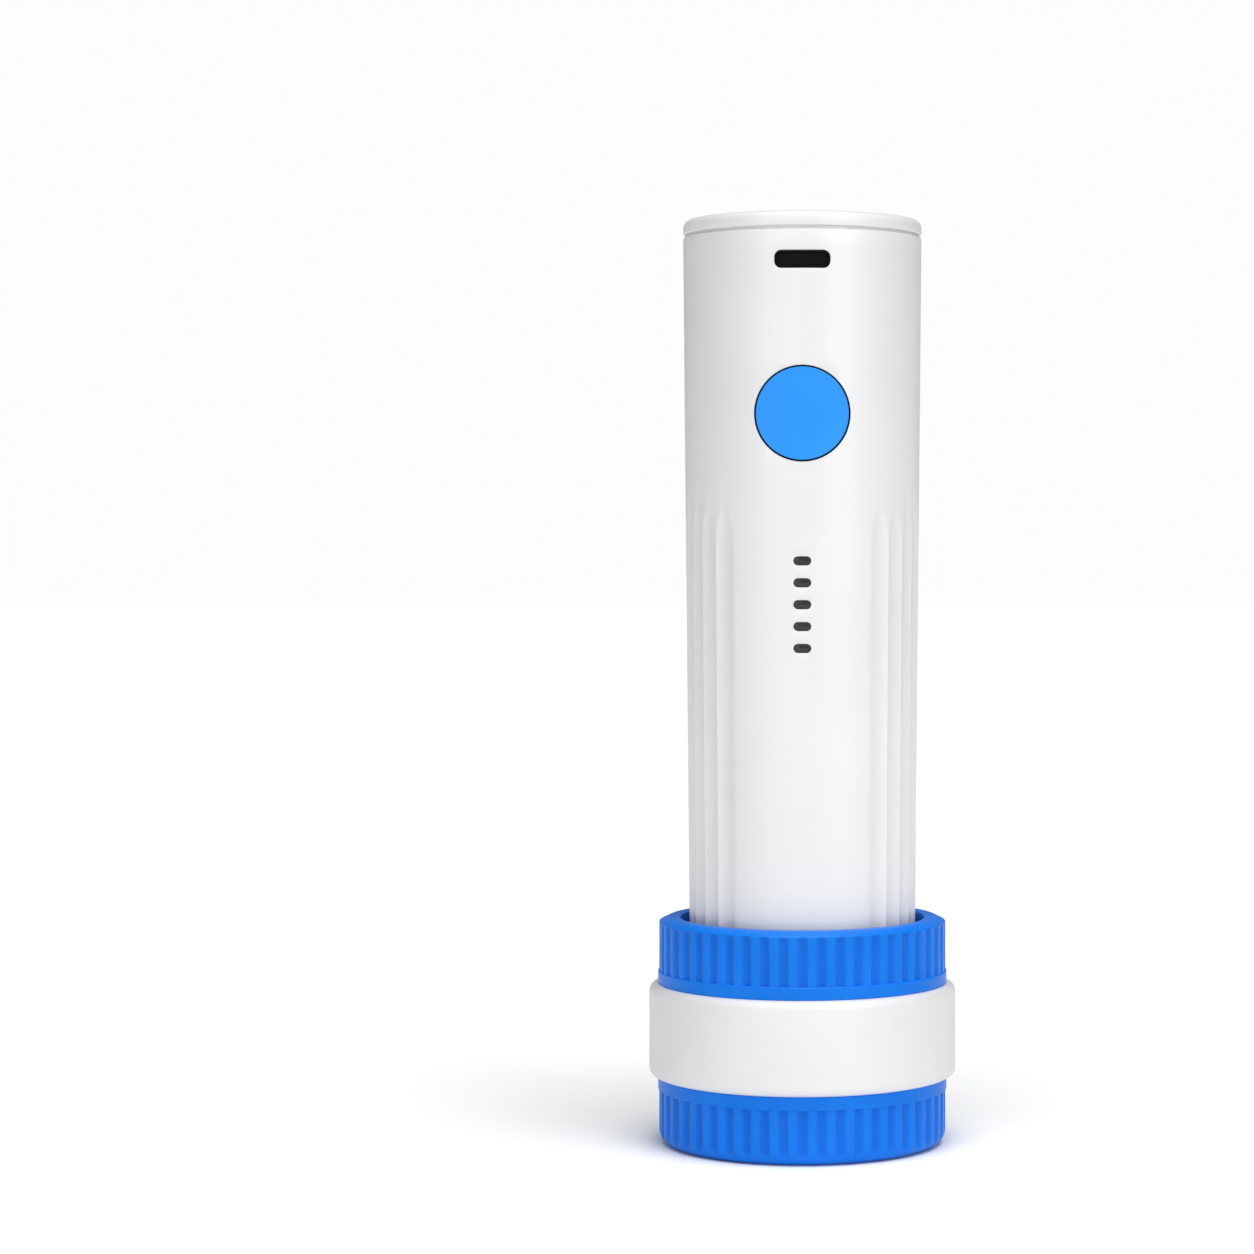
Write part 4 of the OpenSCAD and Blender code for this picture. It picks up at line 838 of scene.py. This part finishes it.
def makeGuide():
    low, high = mouth["ringTop"], mouth["deckZ"]
    stop, bore, wall, chamber = mouth["lipStop"], mouth["guideR"], mouth["guideWall"], mouth["chamberR"]
    tube, neck = mouth["boreR"] + wall, chamber + wall
    flangeR = bodyR(mouth["ledgeZ"] - mouth["flangeT"]) - 2.1
    flange = mouth["ledgeZ"] - mouth["flangeT"]
    outline = [(bore, low), (mouth["ribR"], low), (mouth["ribR"], low + mouth["footT"] - 0.2),
               (mouth["ribR"] - 0.2, low + mouth["footT"]),
               (tube + 0.5, low + mouth["footT"]), (tube, low + mouth["footT"] + 0.5), (tube, stop + 1),
               (tube - 1, stop + 2), (neck + 0.6, stop + 2),
               (neck, stop + 2.6), (neck, flange - 0.5), (neck + 0.5, flange), (flangeR - 0.2, flange),
               (flangeR, flange + 0.2),
               (flangeR, mouth["ledgeZ"] - 0.2), (flangeR - 0.2, mouth["ledgeZ"]), (neck, mouth["ledgeZ"]),
               (neck, high), (chamber, high), (chamber, stop), (bore, stop)]
    pieces = [turned("neck_guide", outline, ((360, 96),))]
    for k in range(mouth["ribs"]):
        # one rib runs up the guide from its foot to its flange
        bpy.ops.object.select_all(action="DESELECT")
        bpy.ops.mesh.primitive_cube_add(size=1)
        rib = bpy.context.object
        inner = chamber + 0.5
        rib.scale = ((mouth["ribR"] - inner) * mm, mouth["ribT"] * mm, (flange - low - 1) * mm)
        rib.location = ((mouth["ribR"] + inner) / 2 * mm, 0, (flange + low + 1) / 2 * mm)
        bpy.ops.object.transform_apply(location=True, scale=True)
        bpy.ops.object.mode_set(mode="EDIT")
        bpy.ops.mesh.select_all(action="SELECT")
        bpy.ops.mesh.bevel(offset=0.2 * mm, segments=2)
        bpy.ops.object.mode_set(mode="OBJECT")
        shape = rib.data
        shape.transform(Matrix.Rotation(math.radians(360 / mouth["ribs"] * k), 4, "Z"))
        reach = tube - 0.3
        for point in shape.vertices:
            # below the shoulder the rib starts in the wider wall, clear of the bore
            r = math.hypot(point.co.x, point.co.y) / mm
            if point.co.z < stop * mm and r < reach:
                point.co.x *= reach / r
                point.co.y *= reach / r
        pieces.append(rib)
    standFor(joined(pieces, "neck_guide"), "bottle_guide")


def makeBumper():
    inner, outer, top = mouth["chamberR"], mouth["guideR"] - 0.1, mouth["lipStop"]
    low = top - mouth["bumperT"]
    outline = roundCorner(inner + 0.4, low + 0.4, 0.4, 180, 270, 5)
    outline += [(inner + 1.1, low), (inner + 1.25, low + 0.2), (inner + 1.5, low + 0.2), (inner + 1.65, low)]
    outline += roundCorner(outer - 0.3, low + 0.3, 0.3, -90, 0, 4) + [(outer, top), (inner, top)]
    standFor(turned("lip_ring", outline, ((360, 96),)), "lip_bumper")


def makePad():
    (inner, outer), (low, top) = mouth["padR"], mouth["padZ"]
    outline = [(inner, low), (outer, low)] + roundCorner(outer - 0.3, top - 0.3, 0.3, 0, 90, 4)
    for k in range(4):
        r = outer - 1.2 - 1.1 * k   # four fine grooves round the pad
        outline += [(r, top), (r - 0.12, top - 0.2), (r - 0.38, top - 0.2), (r - 0.5, top)]
    outline += roundCorner(inner + 0.3, top - 0.3, 0.3, 90, 180, 4)
    standFor(turned("seat_pad", outline, ((360, 128),)), "docking_pad")


makeMouth()
makeGuide()
makeBumper()
makePad()

# the worm, a wire wound into a right-handed corkscrew, with the collar that ends it
worm = {"tipZ": 27.0, "topZ": 85.0, "shankZ": 91.5, "pitch": 9.5, "coilR": 2.85, "wireR": 1.4, "pointTurns": 0.5,
        "neckTurns": 0.7, "sides": 20, "stepsPerTurn": 44, "collarR": 6.0, "collarTop": 86.5}


def ease(t):
    t = min(1, max(0, t))
    return t * t * (3 - 2 * t)


def makeWorm():
    turns = (worm["topZ"] - worm["tipZ"]) / worm["pitch"]
    steps = round(turns * worm["stepsPerTurn"])
    sides = worm["sides"]
    bpy.ops.object.select_all(action="DESELECT")
    bpy.ops.mesh.primitive_circle_add(vertices=sides, radius=worm["wireR"] * mm,
                                      location=(worm["coilR"] * mm, 0, worm["tipZ"] * mm),
                                      rotation=(math.radians(-62), 0, 0))
    piece = bpy.context.object
    piece.name = "cork_worm"
    bpy.ops.object.transform_apply(location=True, rotation=True)
    useModifier(piece, "SCREW", axis="Z", angle=2 * math.pi * turns, steps=steps, render_steps=steps, iterations=1,
                screw_offset=(worm["topZ"] - worm["tipZ"]) * mm, use_merge_vertices=False)
    slope = math.atan2(worm["pitch"], 2 * math.pi * worm["coilR"])
    for i, point in enumerate(piece.data.vertices):
        # each ring of the wire: thin at the point, drawn in to the axis and turned upright at the neck
        ringNumber, side = divmod(i, sides)
        t = turns * ringNumber / steps
        left = ease((turns - t) / worm["neckTurns"])
        wire = worm["wireR"] * (0.04 + 0.96 * ease(t / worm["pointTurns"]) ** 0.7)
        coil = worm["coilR"] * left
        lean = slope + (math.pi / 2 - slope) * (1 - left)
        a = 2 * math.pi * t
        b = 2 * math.pi * side / sides
        out = coil + wire * math.cos(b)
        along = wire * math.sin(b) * math.sin(lean)
        point.co = Vector((out * math.cos(a) + along * math.sin(a), out * math.sin(a) - along * math.cos(a),
                           worm["tipZ"] + worm["pitch"] * t + wire * math.sin(b) * math.cos(lean))) * mm
    last = tuple(tuple(point.co) for point in list(piece.data.vertices)[-sides:])
    first = tuple(tuple(point.co) for point in list(piece.data.vertices)[:sides])
    selectWhere(piece, lambda p: tuple(p) in last)
    shank = (worm["shankZ"] - worm["topZ"] - 0.2) * mm
    bpy.ops.mesh.extrude_edges_move(TRANSFORM_OT_translate={"value": (0, 0, shank)})
    bpy.ops.mesh.extrude_edges_move(TRANSFORM_OT_translate={"value": (0, 0, 0.2 * mm)})
    bpy.ops.transform.resize(value=(0.85, 0.85, 1), center_override=(0, 0, 0))
    bpy.ops.mesh.edge_face_add()
    bpy.ops.object.mode_set(mode="OBJECT")
    selectWhere(piece, lambda p: tuple(p) in first)
    bpy.ops.mesh.edge_face_add()
    bpy.ops.mesh.select_all(action="SELECT")
    bpy.ops.mesh.normals_make_consistent(inside=False)
    bpy.ops.object.mode_set(mode="OBJECT")
    standFor(piece, "worm", 50)


def makeCollar():
    low, top, bore, r = worm["topZ"], worm["collarTop"], worm["wireR"] + 0.05, worm["collarR"]
    outline = [(bore, low + 0.15), (bore + 0.15, low), (r - 1.9, low), (r - 1.7, low + 0.15), (r - 1.3, low + 0.15),
               (r - 1.1, low)]
    outline += roundCorner(r - 0.35, low + 0.35, 0.35, -90, 0, 5)
    outline += roundCorner(r - 0.25, top - 0.25, 0.25, 0, 90, 4) + [(bore, top)]
    standFor(turned("cork_stop", outline, ((360, 80),)), "worm_collar")


makeWorm()
makeCollar()

# screws of the foil cutter's cover and of the guide, with a six-sided socket in each head
screws = {"cutterAt": 21.8, "cutterR": 1.2, "cutterHeadR": 2.2, "cutterTop": 11.6, "cutterNeck": 10.5,
          "cutterEnd": 4.7, "cutterSocket": (2.2, 0.75), "guideAt": 17.2, "guideR": 1.15, "guideHeadR": 1.9,
          "guideLow": 83.0, "guideSeat": 84.5, "guideEnd": 91.7, "guideSocket": (2.0, 0.8)}


def placedScrews(model, spots, name, node):
    # copies of one screw, from the axis to each spot
    placed = []
    for x, y in spots:
        screw = model.copy()
        screw.data = model.data.copy()
        screw.data.transform(Matrix.Translation((x * mm, y * mm, 0)))
        bpy.context.collection.objects.link(screw)
        placed.append(screw)
    bpy.data.objects.remove(model)
    standFor(joined(placed, name), node)


def socketPlug(width, low, high):
    bpy.ops.object.select_all(action="DESELECT")
    bpy.ops.mesh.primitive_cylinder_add(vertices=6, radius=width / 2 * mm, depth=(high - low) * mm,
                                        location=(0, 0, (low + high) / 2 * mm))
    bpy.ops.object.transform_apply(location=True)
    return bpy.context.object


def makeScrews():
    top, neck, end = screws["cutterTop"], screws["cutterNeck"], screws["cutterEnd"]
    head, r, (socket, deep) = screws["cutterHeadR"], screws["cutterR"], screws["cutterSocket"]
    outline = [(0, end), (r - 0.3, end), (r, end + 0.3), (r, neck), (head - 0.08, top - 0.12), (head - 0.16, top),
               (0, top)]
    model = turned("coverScrew", outline, ((360, 40),), closed=False)
    cutWith(model, socketPlug(socket, top - deep, top + 1))
    placedScrews(model, around(4, 0, screws["cutterAt"]), "cover_screws", "cutter_screws")
    low, seat, end = screws["guideLow"], screws["guideSeat"], screws["guideEnd"]
    head, r, (socket, deep) = screws["guideHeadR"], screws["guideR"], screws["guideSocket"]
    outline = [(0, low)] + roundCorner(head - 0.35, low + 0.35, 0.35, -90, 0, 4)
    outline += [(head, seat - 0.05), (head - 0.05, seat), (r, seat), (r, end - 0.3), (r - 0.3, end), (0, end)]
    model = turned("guideScrew", outline, ((360, 40),), closed=False)
    cutWith(model, socketPlug(socket, low - 1, low + deep))
    placedScrews(model, around(3, 30, screws["guideAt"]), "neck_screws", "guide_screws")


makeScrews()

# stage and light

# each sun as (name, strength, degrees right of the front, degrees above the floor, softness)
studio = {"floorSize": 12.0, "floorTone": 0.93, "skySeen": 0.98, "skyFrom": (8, 30),
          "skyStops": ((0.0, 0.4), (0.3, 0.15), (0.5, 0.06), (0.64, 0.12), (0.74, 0.46), (1.0, 0.5)),
          "suns": (("topLight", 2.35, 20, 77, 40), ("rightKey", 0.62, 38, 18, 34), ("leftKey", 0.42, -22, 16, 40))}


def makeStudio():
    bpy.ops.object.select_all(action="DESELECT")
    bpy.ops.mesh.primitive_plane_add(size=studio["floorSize"], location=(0, 0, 0))
    floor = bpy.context.object
    floor.name = "studio_floor"
    made, tree, shader, place = startMaterial("studioFloor")
    cloud = grain(tree, place, 3, 2)
    tree.links.new(tint(tree, cloud, grey(studio["floorTone"]), grey(studio["floorTone"] + 0.01)),
                   shader.inputs["Base Color"])
    shader.inputs["Roughness"].default_value = 0.9
    shader.inputs["Specular IOR Level"].default_value = 0.0
    floor.data.materials.append(made)

    world = bpy.data.worlds.new("studioWorld")
    bpy.context.scene.world = world
    world.use_nodes = True
    tree = world.node_tree
    sky = tree.nodes["Background"]
    # the sky is brightest in front of the object and again far behind it, and dark at its sides
    around, up = (math.radians(a) for a in studio["skyFrom"])
    towards = (math.sin(around) * math.cos(up), -math.cos(around) * math.cos(up), math.sin(up))
    where = tree.nodes.new("ShaderNodeTexCoord")
    facing = tree.nodes.new("ShaderNodeVectorMath")
    facing.operation = "DOT_PRODUCT"
    facing.inputs[1].default_value = towards
    tree.links.new(where.outputs["Generated"], facing.inputs[0])
    share = tree.nodes.new("ShaderNodeMapRange")
    share.inputs["From Min"].default_value = -1
    tree.links.new(facing.outputs["Value"], share.inputs["Value"])
    ramp = tree.nodes.new("ShaderNodeValToRGB")
    stops = ramp.color_ramp.elements
    while len(stops) < len(studio["skyStops"]):
        stops.new(0.5)
    for stop, (position, level) in zip(stops, studio["skyStops"]):
        stop.position = position
        stop.color = (level, level, level, 1)
    tree.links.new(share.outputs["Result"], ramp.inputs["Fac"])
    tree.links.new(ramp.outputs["Color"], sky.inputs["Color"])
    seen = tree.nodes.new("ShaderNodeBackground")
    seen.inputs["Color"].default_value = (1, 1, 1, 1)
    seen.inputs["Strength"].default_value = studio["skySeen"]
    path = tree.nodes.new("ShaderNodeLightPath")
    mix = tree.nodes.new("ShaderNodeMixShader")
    tree.links.new(path.outputs["Is Camera Ray"], mix.inputs["Fac"])
    tree.links.new(sky.outputs["Background"], mix.inputs[1])
    tree.links.new(seen.outputs["Background"], mix.inputs[2])
    tree.links.new(mix.outputs["Shader"], tree.nodes["World Output"].inputs["Surface"])
    for name, strength, right, up, soft in studio["suns"]:
        right, up = math.radians(right), math.radians(up)
        towards = Vector((math.sin(right) * math.cos(up), -math.cos(right) * math.cos(up), math.sin(up)))
        bpy.ops.object.light_add(type="SUN", location=towards, rotation=towards.to_track_quat("Z", "Y").to_euler())
        sun = bpy.context.object
        sun.name = name
        sun.data.energy = strength
        sun.data.angle = math.radians(soft)


makeStudio()
print("studio made")
